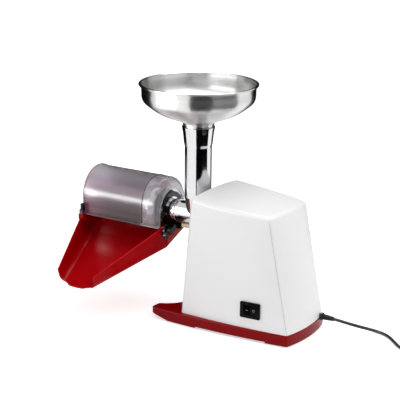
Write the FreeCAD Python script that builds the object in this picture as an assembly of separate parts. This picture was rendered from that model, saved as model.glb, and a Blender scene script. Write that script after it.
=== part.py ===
import FreeCAD, Part
import math
import os

# Electric tomato strainer, millimetres.
# Origin on the standing plane, under the crossing of the feed neck and the screw axis.
# -X runs to the strainer's outlet, +X to the rear of the motor housing, -Y to the juice spout.

V = FreeCAD.Vector
X_AXIS = V(1, 0, 0)
Y_AXIS = V(0, 1, 0)
Z_AXIS = V(0, 0, 1)
REACH = 400.0                # longer than any piece, for cutting tools
OVERRUN = 1.0                # how far a cutting tool runs past the face it cuts

# Heights and axes
screw_z = 191.2              # height of the feed screw's axis
fit_gap = 0.3                # between curved pieces that seat on each other
press_gap = 0.02             # radial gap of a pressed or glued fit
running_gap = 0.05           # radial gap of a shaft in its bush

# Housing, a tapered shell with bowed sides
house_bottom_z = 22.8
house_front_x = 14.0
house_rear_x = 233.9
house_front_half = 78.6
house_rear_half = 68.7
top_front_x = 34.2
top_rear_x = 192.1
top_front_half = 79.6
top_rear_half = 68.1
top_front_z = 247.2
top_rear_z = 232.0
front_bow = 1.5
side_bow = 5.0
rear_bow = 9.5
top_crown = 4.0
house_wall = 3.0
house_edge_r = 8.0

# Base tray
base_skirt_z = 2.0
base_plate = 3.0
base_wall = 3.5
base_margin = 4.0            # how far the tray stands outside the housing
toe_tip_x = -48.0
toe_half = 84.0
toe_gap_half = 60.0
toe_gap_x = -5.5
toe_rise = 9.0
toe_rise_start_x = -10.0
base_corner_r = 7.0
base_edge_r = 1.6
lip_height = 5.0
lip_wall = 2.4
grip_start_x = 50.0
grip_end_x = 193.0
grip_rise = 2.5
vent_count = 7
vent_width = 5.0
vent_length = 46.0
vent_pitch = 12.0
foot_r = 7.5                 # half the width of each rubber strip
foot_rib = 3.0
foot_height = 6.0
foot_front_x = 6.0
foot_front_y = 70.0
foot_rear_x = 226.0
foot_rear_y = 58.0
foot_screw_r = 2.0
foot_head_r = 3.8
foot_head_z = 1.2            # screw heads, sunk into the strips
foot_seat_z = 3.2
foot_screw_grip = 9.0
foot_chamfer = 0.8

# Housing screws and their posts
post_r = 5.0
post_top_z = 66.0
post_front_x = 30.0
post_front_y = 62.0
post_rear_x = 206.0
post_rear_y = 52.0
post_screw_r = 2.0
post_screw_head_r = 3.6
post_screw_length = 22.0
post_web_half = 1.5
post_web_reach = 30.0
post_foot_rise = 8.0         # the tray's posts start this far above its edge
post_head_rise = 9.0         # screw heads, sunk into those posts
post_seat_rise = 12.0

# Feed tee: horizontal tube and upright neck
tube_r = 20.6
tube_bore_r = 19.0
tee_front_x = -66.0          # end that the filter head seats on
thread_r = 24.2
thread_length = 9.0
shoulder_r = 21.9
shoulder_length = 8.5
shoulder_x = -49.5
neck_r = 25.1
neck_bore_r = 23.6
neck_blend_z = 226.0         # where the neck reaches its full radius
neck_flare_z = 322.5
neck_waist_r = 26.3
neck_waist_z = 327.6
neck_mid_r = 28.8
neck_mid_z = 349.5
neck_lip_r = 30.8
neck_top_z = 359.7
neck_wall = 1.2
flange_r = 36.0
flange_thick = 4.0
flange_pcd = 60.0
flange_screw_count = 4
flange_screw_r = 2.5
flange_head_r = 4.4
flange_head_h = 3.0

# Hopper
hopper_wall = 1.0
hopper_rim_r = 110.0
hopper_rim_z = 441.0
hopper_bead_r = 2.2
hopper_foot_flare = 0.4
hopper_foot_rise = 7.9       # the bowl's lower end above the neck's lip
hopper_side_in = 3.8         # the side's upper edge, inside and below the rim
hopper_side_drop = 5.0
# Side of the bowl from its upper edge to its foot: shares of the way out and up
HOPPER_SIDE = [
    (1.0, 1.0), (0.987, 0.927), (0.983, 0.825), (0.974, 0.678), (0.934, 0.576),
    (0.853, 0.491), (0.604, 0.295), (0.282, 0.132), (0.059, 0.038), (0.0, 0.0),
]
spigot_r = 23.3
spigot_bottom_z = 300.0
spigot_step_z = 326.6
spigot_shoulder_r = 25.0

# Filter head
gasket_thick = 1.5
cup_flange_r = 27.0
cup_flange_thick = 2.2
cup_neck_r = 22.4
cup_neck_bore_r = 19.6
cup_neck_length = 7.3
cup_r = 40.0
cup_wall = 1.2
cup_dome_length = 11.0
cup_length = 31.0            # from the tee's end to the cup's open rim
cone_big_r = 37.0
cone_small_r = 20.5
cone_wall = 1.0
cone_end_x = -215.0
cone_tail = 7.0
sleeve_bore_r = 18.0
sleeve_collar_r = 22.0
sleeve_nozzle_r = 21.0
sleeve_end_x = -248.0

# Ring nut
nut_rear_x = -57.0
nut_front_x = -75.0
nut_r = 34.0
nut_lobe_r = 6.0
nut_lobe_pitch_r = 31.4
nut_lobe_count = 6

# Feed screw
core_r = 8.5
core_front_x = -80.0
cone_core_big_r = 21.0
cone_core_small_r = 12.5
screw_tip_x = -240.0
screw_tail_x = 20.0
flight_r = 18.3
flight_pitch = 34.0
flight_turns = 2.5
flight_start_x = 13.0
flight_thick = 3.0
cone_flight_depth = 14.0
cone_flight_pitch = 39.0
cone_flight_turns = 2.8
cone_flight_clear = 1.0
hex_across = 14.0
hex_length = 14.0
hex_gap = 0.15

# Splash guard
guard_axis_z = 202.4         # centre of the cover's round top
guard_half = 50.4
guard_wall = 2.4
guard_end_x = -231.0
guard_near_x = -58.0
guard_shoulder_r = 12.0
guard_bottom_z = 167.3
guard_flange_y = 57.5
guard_flange_thick = 2.2
guard_flange_near_x = -52.0
guard_hole_r = 39.5
guard_rim_out = 1.2
guard_rim_width = 3.0
knob_x = -229.0
knob_y = 56.4
knob_pad_r = 6.5             # round boss on the flange under each knob
knob_pad_height = 7.5
knob_r = 4.3
knob_height = 12.0
knob_pin_r = 2.0
knob_pin_length = 19.0
knob_lobes = 8
knob_groove_r = 0.9
knob_groove_out = 0.3         # groove centres outside the knob's round
knob_groove_rise = 1.5
knob_round = 1.2
lug_depth = 11.0             # lug inside the tray that takes the knob's screw
lug_length = 13.0

# Drip chute
chute_right_x = -48.9         # wall beside the clip
chute_half = 93.4
chute_centre_x = chute_right_x - chute_half
chute_wall = 2.4
chute_top_z = 167.0
chute_rear_y = 58.0
chute_rear_floor_z = 156.5
chute_bend_y = -27.0
chute_bend_z = 120.5
chute_bend_half = 92.5
chute_kink_y = -50.0
chute_kink_half = 86.0
chute_spout_y = -200.0
chute_spout_half = 38.9
chute_spout_floor_half = 36.0
chute_spout_top_z = 96.4
chute_spout_floor_z = 72.0
notch_gap = 2.0               # round the filter head where it is drawn out
notch_reach = 20.0
chute_lip_y = -184.0         # where the floor ends beside the walls
chute_tongue = 9.0           # how far the middle of the lip reaches beyond that

# Chute arm, clip and wing screw
arm_half = 10.0
arm_bottom_z = 162.8
arm_top_z = 169.9
arm_tip_x = -40.5
arm_foot_thick = 3.0
arm_foot_half = 27.0
arm_foot_top_z = 175.8
clip_gap = 0.3
clip_plate = 5.6
clip_block_x = -29.5
clip_side = 3.0               # wall of the clip beside the arm
clip_top = 2.4
cheek_half = 9.0
cheek_low = 10.0
cheek_high = 11.0
cheek_r = 10.5
wing_y = -38.0
wing_z = 160.0
wing_shank_r = 3.0
wing_hub_r = 6.5
wing_length = 9.6
wing_span = 15.0
nut_across = 10.0
nut_thick = 2.5

# Gear train, straight involute teeth
pressure_deg = 25.0
addendum_share = 0.85
dedendum_share = 1.15
tooth_backlash = 0.2
stage1_module = 1.0
stage1_pinion_teeth = 10
stage1_gear_teeth = 50
stage2_module = 1.75
stage2_pinion_teeth = 11
stage2_gear_teeth = 33
stage1_face = 10.0
stage2_face = 14.0
case_front_x = 44.0
case_wall = 4.0
case_depth = 42.0
lid_thick = 5.0
gear_clear = 1.6
stage2_x = 50.0
stage1_x = 67.0
leg_width = 14.0
leg_y = 34.0
leg_foot = 22.0
lid_screw_r = 2.0
lid_head_r = 3.6
case_ear_out = 1.5            # screw centres beyond the rounds of the case
case_ear_wall = 2.6           # metal round each screw
case_ear_length = 16.0
case_ear_degs = (40.0, 0.0, -35.0)
output_shaft_r = 9.0
output_sleeve_r = 14.0
output_sleeve_x = 21.0
bush_wall = 2.5
idler_shaft_r = 5.0
seal_length = 6.0

# Motor
stator_side = 92.0
stator_length = 50.0
stator_bore_r = 26.5
stator_slots = 8
slot_bar_width = 7.0
slot_inner_r = 29.0
slot_outer_r = 40.0
end_turn = 9.0
rotor_r = 26.0
shield_depth = 16.0
shield_plate = 5.0
shield_wall = 4.0
motor_shaft_r = 6.0
pinion_shaft_r = 2.8
bearing_r = 13.0
bearing_width = 7.0
fan_r = 44.0
fan_width = 10.0
fan_blades = 9
fan_x = 179.0
shaft_end_x = 192.0
bolt_r = 2.0
bolt_inset = 7.0
cradle_sheet = 3.0
capacitor_r = 17.5
capacitor_length = 60.0
capacitor_y = 24.0
clip_sheet = 1.5

# Switch
switch_x = 162.5
switch_z = 58.5
bezel_length = 39.0
bezel_height = 30.0
bezel_thick = 2.6
switch_cut_length = 34.0
switch_cut_height = 25.0
switch_depth = 18.0
rocker_length = 25.0
rocker_height = 17.0
rocker_tilt = 9.0

# Lead
cord_r = 3.0
gland_y = 50.0
gland_z = 23.0
gland_tail_x = 262.0
gland_flange_wide = 4.2
coil_x = 474.0
coil_y = 4.0
coil_mean_r = 33.0
coil_columns = 2
coil_rows = 3
plug_length = 37.0
plug_width = 35.3
plug_height = 13.7
plug_pin_r = 2.0
plug_pin_length = 19.0
plug_pin_half = 9.3
plug_x = 534.0
plug_y = 23.0

# Route of the lead from the gland to the coil, chosen by eye
CORD_ROUTE = [
    (256.0, 50.0, 23.0), (270.5, 50.0, 23.0), (284.0, 52.0, 21.0), (296.0, 57.5, 17.6),
    (306.5, 66.0, 13.0), (317.5, 75.5, 8.4), (330.0, 82.5, 5.0), (344.0, 84.0, 3.2),
    (358.5, 79.5, 3.0), (372.0, 69.5, 3.0), (385.0, 56.5, 3.0), (399.0, 43.0, 3.0),
    (416.0, 32.5, 3.0), (437.0, 30.5, 3.0), (458.0, 35.0, 3.0), (476.0, 40.0, 3.0),
]

parts = {}


def box(x0, x1, y0, y1, z0, z1):
    return Part.makeBox(x1 - x0, y1 - y0, z1 - z0, V(x0, y0, z0))


def rod(x0, x1, radius, y=0.0, z=screw_z):
    return Part.makeCylinder(radius, x1 - x0, V(x0, y, z), X_AXIS)


def tube(x0, x1, outer, bore, y=0.0, z=screw_z):
    return rod(x0, x1, outer, y, z).cut(rod(x0 - OVERRUN, x1 + OVERRUN, bore, y, z))


def post(x, y, z0, z1, radius):
    return Part.makeCylinder(radius, z1 - z0, V(x, y, z0), Z_AXIS)


def path_edges(points):
    """Edges through 2-D points; a point marked as a bulge is the middle of an arc."""
    edges = []
    index = 0
    while index < len(points) - 1:
        start = points[index][:2]
        following = points[index + 1]
        if len(following) == 3:
            end = points[index + 2][:2]
            edges.append(("arc", start, following[:2], end))
            index += 2
        else:
            edges.append(("line", start, following[:2]))
            index += 1
    return edges


def wire_from(points, place):
    edges = []
    for kind, *ends in path_edges(points):
        spots = [place(a, b) for a, b in ends]
        if kind == "arc":
            edges.append(Part.Arc(*spots).toShape())
        else:
            edges.append(Part.LineSegment(*spots).toShape())
    return Part.Wire(edges)


def revolve_x(points, z=screw_z, y=0.0):
    """A closed profile of (x, radius) turned about a line along X."""
    wire = wire_from(points + [points[0]], lambda a, r: V(a, y, z + r))
    return Part.Face(wire).revolve(V(0, y, z), X_AXIS, 360)


def revolve_z(points, x=0.0, y=0.0):
    """A closed profile of (radius, z) turned about a line along Z."""
    wire = wire_from(points + [points[0]], lambda r, a: V(x + r, y, a))
    return Part.Face(wire).revolve(V(x, y, 0), Z_AXIS, 360)


def slab_z(points, z0, z1):
    wire = wire_from(points + [points[0]], lambda a, b: V(a, b, z0))
    return Part.Face(wire).extrude(V(0, 0, z1 - z0))


def slab_x(points, x0, x1):
    wire = wire_from(points + [points[0]], lambda a, b: V(x0, a, b))
    return Part.Face(wire).extrude(V(x1 - x0, 0, 0))


def slab_y(points, y0, y1):
    wire = wire_from(points + [points[0]], lambda a, b: V(a, y0, b))
    return Part.Face(wire).extrude(V(0, y1 - y0, 0))


def ring_spots(count, radius, start_deg=0.0):
    """Places (y, z) spread round the screw axis."""
    spots = []
    for number in range(count):
        angle = math.radians(start_deg + 360.0 * number / count)
        spots.append((radius * math.cos(angle), radius * math.sin(angle)))
    return spots


def hexagon_rod(x0, x1, across, y=0.0, z=screw_z):
    corner = across / math.sqrt(3.0)
    points = [(y + a, z + b) for a, b in ring_spots(6, corner, 30.0)]
    return slab_x(points, x0, x1)


def fuse_all(solids):
    whole = solids[0]
    for solid in solids[1:]:
        whole = whole.fuse(solid)
    return whole.removeSplitter()


def keep(name, shape):
    parts[name] = shape


# Housing


def house_edge(z):
    """Front x, rear x and the half widths of the housing at a height."""
    rise = z - house_bottom_z
    front_run = rise / (top_front_z - house_bottom_z)
    rear_run = rise / (top_rear_z - house_bottom_z)
    return (
        house_front_x + (top_front_x - house_front_x) * front_run,
        house_rear_x + (top_rear_x - house_rear_x) * rear_run,
        house_front_half + (top_front_half - house_front_half) * front_run,
        house_rear_half + (top_rear_half - house_rear_half) * rear_run,
    )


def house_front_at(z):
    return house_edge(z)[0]


def house_side_at(x, z):
    """Half width of the housing's outside at a place along its side."""
    front, rear, front_half, rear_half = house_edge(z)
    share = (x - front) / (rear - front)
    return front_half + (rear_half - front_half) * share + side_bow * 4 * share * (1 - share)


def house_outline(z, inset):
    front, rear, front_half, rear_half = house_edge(z)
    front += inset
    rear -= inset
    front_half -= inset
    rear_half -= inset
    middle_x = (front + rear) / 2
    middle_half = (front_half + rear_half) / 2 + side_bow
    points = [
        (front, front_half),
        (front - front_bow, 0, "bulge"),
        (front, -front_half),
        (middle_x, -middle_half, "bulge"),
        (rear, -rear_half),
        (rear + rear_bow, 0, "bulge"),
        (rear, rear_half),
        (middle_x, middle_half, "bulge"),
        (front, front_half),
    ]
    return wire_from(points, lambda a, b: V(a, b, z))


def house_solid(inset, bottom_z):
    top_z = top_front_z + 2 * top_crown
    body = Part.makeLoft([house_outline(bottom_z, inset), house_outline(top_z, inset)], True, True)
    slope = V(top_rear_x - top_front_x, 0, top_rear_z - top_front_z).normalize()
    spread = 1.5 * top_front_half
    drop = top_crown * ((spread / top_front_half) ** 2 - 1) + inset
    start = V(top_front_x, 0, top_front_z) - slope * REACH
    crown = wire_from([
        (-spread, -drop),
        (0, top_crown - inset, "bulge"),
        (spread, -drop),
        (spread, -REACH),
        (-spread, -REACH),
        (-spread, -drop),
    ], lambda a, b: start + V(0, a, b))
    body = body.common(Part.Face(crown).extrude(slope * 2 * REACH))
    low = (bottom_z + top_rear_z) / 2
    rounded = [edge for edge in body.Edges if edge.BoundBox.ZMax > low]
    return body.makeFillet(house_edge_r - inset, rounded)


def switch_frame(shape):
    """Moves a switch piece from its own frame, face at y = 0 looking to -Y, to the housing side."""
    run = 8.0
    near = house_side_at(switch_x - run, switch_z)
    far = house_side_at(switch_x + run, switch_z)
    turn = math.degrees(math.atan2(near - far, 2 * run))
    moved = shape.copy()
    moved.rotate(V(0, 0, 0), Z_AXIS, turn)
    moved.translate(V(switch_x, -(near + far) / 2 - fit_gap, switch_z))
    return moved


def post_places():
    places = []
    for side in (-1, 1):
        places.append((post_front_x, side * post_front_y))
        places.append((post_rear_x, side * post_rear_y))
    return places


def make_housing():
    outer = house_solid(0.0, house_bottom_z)
    inner = house_solid(house_wall, house_bottom_z - OVERRUN)
    shell = outer.cut(inner)
    for x, y in post_places():
        side = 1 if y > 0 else -1
        wall_x = house_front_x if x < switch_x / 2 else house_rear_x
        boss = post(x, y, house_bottom_z, post_top_z, post_r)
        reach_y = y + side * post_web_reach
        web_x = box(min(x, wall_x), max(x, wall_x), y - post_web_half, y + post_web_half,
                    house_bottom_z + lip_height + 1, post_top_z)
        web_y = box(x - post_web_half, x + post_web_half, min(y, reach_y), max(y, reach_y),
                    house_bottom_z + lip_height + 1, post_top_z)
        boss = boss.fuse([web_x, web_y]).common(inner)
        shell = shell.fuse(boss)
    for x, y in post_places():
        shell = shell.cut(post(x, y, house_bottom_z - OVERRUN, house_bottom_z + post_screw_length + 1,
                               post_screw_r + press_gap))
    front = house_front_at(screw_z)
    shell = shell.cut(rod(front - 20, front + 20, tube_r + 1.6))
    shell = shell.cut(box(front - 20, front + 20, -arm_half - 1, arm_half + 1, arm_bottom_z - 1.5,
                          screw_z - tube_r))
    cutout = box(-switch_cut_length / 2, switch_cut_length / 2, -10, 10, -switch_cut_height / 2,
                 switch_cut_height / 2)
    shell = shell.cut(switch_frame(cutout))
    shell = shell.cut(rod(gland_inner_x() - 4, gland_outer_x() + 20, gland_hole_r(), gland_y, gland_z))
    keep("housing_shell", shell.removeSplitter())


# Base tray


def rear_face_x(y, margin):
    """Rear surface of the housing at its foot, moved out by a margin."""
    share = y / house_rear_half
    return house_rear_x + rear_bow * (1 - share ** 2) + margin


def base_outline(inset):
    side_rear = house_rear_half + base_margin / 4
    rear = house_rear_x + base_margin / 4
    middle_x = (house_front_x + rear) / 2
    middle_y = (house_front_half + house_rear_half) / 2 + side_bow + base_margin
    points = [
        (toe_tip_x, toe_half - base_corner_r * 0.4),
        (toe_tip_x + 1.5, toe_gap_half),
        (toe_gap_x, 0, "bulge"),
        (toe_tip_x + 1.5, -toe_gap_half),
        (toe_tip_x, -toe_half + base_corner_r * 0.4),
        (toe_tip_x + base_corner_r, -toe_half),
        (middle_x, -middle_y, "bulge"),
        (rear, -side_rear),
        (rear + rear_bow, 0, "bulge"),
        (rear, side_rear),
        (middle_x, middle_y, "bulge"),
        (toe_tip_x + base_corner_r, toe_half),
        (toe_tip_x, toe_half - base_corner_r * 0.4),
    ]
    wire = wire_from(points, lambda a, b: V(a, b, 0))
    if inset > 0:
        wire = wire.makeOffset2D(-inset, 2)
    return wire


def base_block(inset, z0, z1):
    block = Part.Face(base_outline(inset)).extrude(V(0, 0, z1 - z0))
    block.translate(V(0, 0, z0))
    return block


def foot_places():
    places = []
    for side in (-1, 1):
        places.append((foot_front_x, side * foot_front_y))
        places.append((foot_rear_x, side * foot_rear_y))
    return places


def gland_hole_r():
    return cord_r + 2.2


def gland_inner_x():
    return rear_face_x(gland_y, 0) - house_wall - 3


def gland_outer_x():
    return rear_face_x(gland_y - cord_r - gland_flange_wide, base_margin / 4) + fit_gap


def make_base():
    tray = base_block(0, base_skirt_z, house_bottom_z)
    upright = [edge for edge in tray.Edges
               if abs(edge.BoundBox.ZLength - (house_bottom_z - base_skirt_z)) < 0.01]
    tray = tray.makeFillet(base_corner_r / 2, upright)
    top_edges = [edge for edge in tray.Edges if edge.BoundBox.ZMin > house_bottom_z - 0.01]
    tray = tray.makeFillet(base_edge_r, top_edges)
    tray = tray.cut(base_block(base_wall, base_skirt_z - OVERRUN, house_bottom_z - base_plate))
    rise = [
        (toe_rise_start_x, base_skirt_z),
        (toe_tip_x - 10, base_skirt_z + toe_rise * (toe_rise_start_x - toe_tip_x + 10)
         / (toe_rise_start_x - toe_tip_x)),
        (toe_tip_x - 10, base_skirt_z - 5),
        (toe_rise_start_x, base_skirt_z - 5),
    ]
    tray = tray.cut(slab_y(rise, -REACH / 2, REACH / 2))
    tray = tray.cut(box(grip_start_x, grip_end_x, -REACH / 2, REACH / 2, 0, base_skirt_z + grip_rise))
    lip_outer = house_slice(house_wall + fit_gap, house_bottom_z, house_bottom_z + lip_height)
    lip_inner = house_slice(house_wall + fit_gap + lip_wall, house_bottom_z - 1,
                            house_bottom_z + lip_height + 1)
    lip = lip_outer.cut(lip_inner)
    for x, y in post_places():
        lip = lip.cut(post(x, y, house_bottom_z - 1, house_bottom_z + lip_height + 1, post_r + 4))
    tray = tray.fuse(lip)
    for x, y in foot_places():
        boss = post(x, y, foot_height, house_bottom_z - base_plate, foot_r - 1)
        rib = box(x - foot_rib / 2, x + foot_rib / 2, min(y, 0), max(y, 0), foot_height,
                  house_bottom_z - base_plate)
        tray = tray.fuse([boss, rib])
    for x, y in post_places():
        tray = tray.fuse(post(x, y, base_skirt_z + post_foot_rise, house_bottom_z - base_plate, post_r))
    for x, y in foot_places():
        tray = tray.cut(post(x, y, 0, foot_height + foot_screw_grip + 1, foot_screw_r + press_gap))
    for x, y in post_places():
        tray = tray.cut(post(x, y, 0, house_bottom_z + OVERRUN, post_screw_r + fit_gap))
        tray = tray.cut(post(x, y, 0, base_skirt_z + post_seat_rise, post_screw_head_r + fit_gap))
    vent_start = stator_x() - vent_pitch
    for number in range(vent_count):
        x = vent_start + vent_pitch * number
        tray = tray.cut(box(x, x + vent_width, -vent_length / 2, vent_length / 2,
                            house_bottom_z - base_plate - 1, house_bottom_z + 1))
    tray = tray.cut(rod(gland_inner_x() - 4, gland_outer_x() + 20, gland_hole_r(), gland_y, gland_z))
    keep("base_tray", tray.removeSplitter())
    feet = []
    for x, y in ((foot_front_x, foot_front_y), (foot_rear_x, foot_rear_y)):
        strip = box(x - foot_r, x + foot_r, -y, y, 0, foot_height)
        strip = strip.fuse([post(x, -y, 0, foot_height, foot_r), post(x, y, 0, foot_height, foot_r)])
        strip = strip.removeSplitter()
        rim = [edge for edge in strip.Edges if edge.BoundBox.ZMax < 0.01]
        strip = strip.makeChamfer(foot_chamfer, rim)
        for side in (-1, 1):
            strip = strip.cut(post(x, side * y, -1, foot_seat_z, foot_head_r + fit_gap))
            strip = strip.cut(post(x, side * y, -1, foot_height + 1, foot_screw_r + fit_gap))
        feet.append(strip)
    screws = []
    for x, y in foot_places():
        head = post(x, y, foot_head_z, foot_seat_z, foot_head_r)
        shank = post(x, y, foot_seat_z, foot_height + foot_screw_grip, foot_screw_r)
        screws.append(head.fuse(shank).removeSplitter())
    keep("rubber_feet", Part.makeCompound(feet))
    keep("foot_screws", Part.makeCompound(screws))
    screws = []
    for x, y in post_places():
        head = post(x, y, base_skirt_z + post_head_rise, base_skirt_z + post_seat_rise,
                    post_screw_head_r)
        shank = post(x, y, base_skirt_z + post_seat_rise, house_bottom_z + post_screw_length,
                     post_screw_r)
        screws.append(head.fuse(shank).removeSplitter())
    keep("housing_screws", Part.makeCompound(screws))


def house_slice(inset, z0, z1):
    """A level slice of the housing with its upright edges rounded."""
    block = Part.makeLoft([house_outline(z0, inset), house_outline(z1, inset)], True, True)
    upright = [edge for edge in block.Edges if edge.BoundBox.ZLength > (z1 - z0) * 0.99]
    return block.makeFillet(max(house_edge_r - inset, 1.0), upright)


# Feed tee


def make_feed_body():
    outer = rod(tee_front_x, case_front_x, tube_r)
    outer = outer.fuse(rod(tee_front_x, tee_front_x + thread_length, thread_r))
    outer = outer.fuse(rod(shoulder_x, shoulder_x + shoulder_length, shoulder_r))
    outer = outer.fuse(rod(case_front_x - flange_thick, case_front_x, flange_r))
    neck = [
        (0, screw_z),
        (tube_r - 0.1, screw_z),
        (neck_r, neck_blend_z),
        (neck_r, neck_flare_z),
        (neck_waist_r, neck_waist_z),
        (neck_mid_r, neck_mid_z),
        (neck_lip_r, neck_top_z),
        (0, neck_top_z),
    ]
    outer = outer.fuse(revolve_z(neck))
    bore = [
        (0, screw_z),
        (tube_bore_r - 0.2, screw_z),
        (neck_bore_r, neck_blend_z + 4),
        (neck_bore_r, spigot_step_z - fit_gap),
        (spigot_shoulder_r + fit_gap, spigot_step_z - fit_gap),
        (neck_mid_r - neck_wall, neck_mid_z),
        (neck_lip_r - neck_wall, neck_top_z),
        (neck_lip_r - neck_wall, neck_top_z + 2),
        (0, neck_top_z + 2),
    ]
    body = outer.cut(rod(tee_front_x - OVERRUN, case_front_x + OVERRUN, tube_bore_r))
    body = body.cut(revolve_z(bore))
    for y, z in ring_spots(flange_screw_count, flange_pcd / 2, 45.0):
        body = body.cut(rod(case_front_x - flange_thick - 1, case_front_x + 1, flange_screw_r + fit_gap,
                            y, screw_z + z))
    keep("feed_body", body.removeSplitter())


def make_hopper():
    foot_r = neck_lip_r - neck_wall + hopper_foot_flare
    foot_z = neck_top_z + hopper_foot_rise
    side_r = hopper_rim_r - hopper_side_in
    side_z = hopper_rim_z - hopper_side_drop
    outside = [(foot_r + (side_r - foot_r) * out, foot_z + (side_z - foot_z) * up)
               for out, up in HOPPER_SIDE]
    inside = []
    for number, (r, z) in enumerate(outside):
        before = outside[max(number - 1, 0)]
        after = outside[min(number + 1, len(outside) - 1)]
        run = V(after[0] - before[0], after[1] - before[1], 0).normalize()
        inside.append((r + run.y * hopper_wall, z - run.x * hopper_wall))
    outer_curve = Part.BSplineCurve()
    outer_curve.interpolate([V(r, 0, z) for r, z in outside])
    inner_curve = Part.BSplineCurve()
    inner_curve.interpolate([V(r, 0, z) for r, z in reversed(inside)])
    foot = [
        outside[-1],
        (neck_lip_r - neck_wall - 1.2, neck_top_z + 3),
        (neck_mid_r - neck_wall - fit_gap, neck_mid_z),
        (spigot_shoulder_r, spigot_step_z),
        (spigot_r, spigot_step_z),
        (spigot_r, spigot_bottom_z),
        (spigot_r - hopper_wall, spigot_bottom_z),
        (spigot_r - hopper_wall, spigot_step_z + hopper_wall),
        (neck_mid_r - neck_wall - fit_gap - hopper_wall, neck_mid_z),
        (neck_lip_r - neck_wall - 1.2 - hopper_wall, neck_top_z + 3),
        inside[-1],
    ]
    edges = [outer_curve.toShape()]
    for start, end in zip(foot, foot[1:]):
        edges.append(Part.LineSegment(V(start[0], 0, start[1]), V(end[0], 0, end[1])).toShape())
    edges.append(inner_curve.toShape())
    edges.append(Part.LineSegment(V(inside[0][0], 0, inside[0][1]),
                                  V(outside[0][0], 0, outside[0][1])).toShape())
    bowl = Part.Face(Part.Wire(edges)).revolve(V(0, 0, 0), Z_AXIS, 360)
    bead = Part.makeTorus(hopper_rim_r - hopper_bead_r, hopper_bead_r,
                          V(0, 0, hopper_rim_z - hopper_bead_r), Z_AXIS)
    flare = revolve_z([
        (side_r - hopper_wall, side_z - 0.2),
        (side_r + 0.1, side_z - 0.2),
        (hopper_rim_r - 1.4 * hopper_bead_r, hopper_rim_z - 0.8 * hopper_bead_r),
        (hopper_rim_r - 1.9 * hopper_bead_r, hopper_rim_z - 0.6 * hopper_bead_r),
    ])
    keep("hopper", bowl.fuse([flare, bead]).removeSplitter())


# Filter head, from the tee outwards to the skin outlet


def gasket_front():
    return tee_front_x - gasket_thick


def make_filter():
    front = gasket_front()
    keep("filter_gasket", tube(front, tee_front_x, cup_flange_r - 1, cup_neck_bore_r + 0.3))
    flange_end = front - cup_flange_thick
    neck_end = front - cup_flange_thick - cup_neck_length
    rim = tee_front_x - cup_length
    dome = neck_end - cup_dome_length
    step = cup_r - cup_neck_r
    cup = [
        (front, cup_neck_bore_r),
        (front, cup_flange_r),
        (flange_end, cup_flange_r),
        (flange_end, cup_neck_r),
        (neck_end, cup_neck_r),
        (neck_end - 2.6, cup_neck_r + step * 0.73, "bulge"),
        (dome, cup_r),
        (rim, cup_r),
        (rim, cup_r - cup_wall),
        (dome + 0.4, cup_r - cup_wall),
        (neck_end - 3.8, cup_neck_r + step * 0.69, "bulge"),
        (neck_end - cup_wall, cup_neck_r + cup_wall),
        (neck_end - cup_wall, cup_neck_bore_r),
    ]
    keep("filter_cup", revolve_x(cup))
    base = rim + 1.5
    cone = [
        (base, cup_r - cup_wall - press_gap),
        (rim, cup_r - cup_wall - press_gap),
        (rim, cone_big_r),
        (cone_end_x, cone_small_r),
        (cone_end_x - cone_tail, cone_small_r),
        (cone_end_x - cone_tail, cone_small_r - cone_wall),
        (cone_end_x, cone_small_r - cone_wall),
        (base, cone_big_r - cone_wall),
    ]
    keep("filter_cone", revolve_x(cone))
    tail = cone_end_x - cone_tail
    sleeve = [
        (cone_end_x, sleeve_bore_r),
        (cone_end_x, cone_small_r - cone_wall - press_gap),
        (tail, cone_small_r - cone_wall - press_gap),
        (tail, sleeve_collar_r),
        (tail - 4, sleeve_collar_r),
        (tail - 4, sleeve_nozzle_r),
        (sleeve_end_x, sleeve_nozzle_r - 0.8),
        (sleeve_end_x, sleeve_bore_r),
    ]
    keep("outlet_sleeve", revolve_x(sleeve))


def make_ring_nut():
    body = rod(nut_front_x, nut_rear_x, nut_r)
    for y, z in ring_spots(nut_lobe_count, nut_lobe_pitch_r, 30.0):
        body = body.fuse(rod(nut_front_x + 1.5, nut_rear_x - 1.5, nut_lobe_r, y, screw_z + z))
    flange_end = gasket_front() - cup_flange_thick
    body = body.cut(rod(tee_front_x, nut_rear_x + 1, thread_r + 0.1))
    body = body.cut(rod(flange_end - 0.1, tee_front_x + 0.01, cup_flange_r + 0.4))
    body = body.cut(rod(nut_front_x - 1, tee_front_x, cup_neck_r + 0.3))
    keep("ring_nut", body.removeSplitter())


# Feed screw


def helix_flight(pitch, turns, radius, cone_deg, depth, thick):
    """A flight round +Z from the origin, swept from a radial rectangle."""
    spine = Part.makeHelix(pitch, pitch * turns, radius, cone_deg)
    profile = Part.makePolygon([
        V(radius, 0, -thick / 2),
        V(radius, 0, thick / 2),
        V(radius - depth, 0, thick / 2 + 1),
        V(radius - depth, 0, -thick / 2 - 1),
        V(radius, 0, -thick / 2),
    ])
    return Part.Wire(spine.Edges).makePipeShell([profile], True, True)


def cone_inner_at(x):
    base = tee_front_x - cup_length
    share = (x - base) / (cone_end_x - base)
    return cone_big_r - cone_wall + (cone_small_r - cone_big_r) * share


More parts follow.
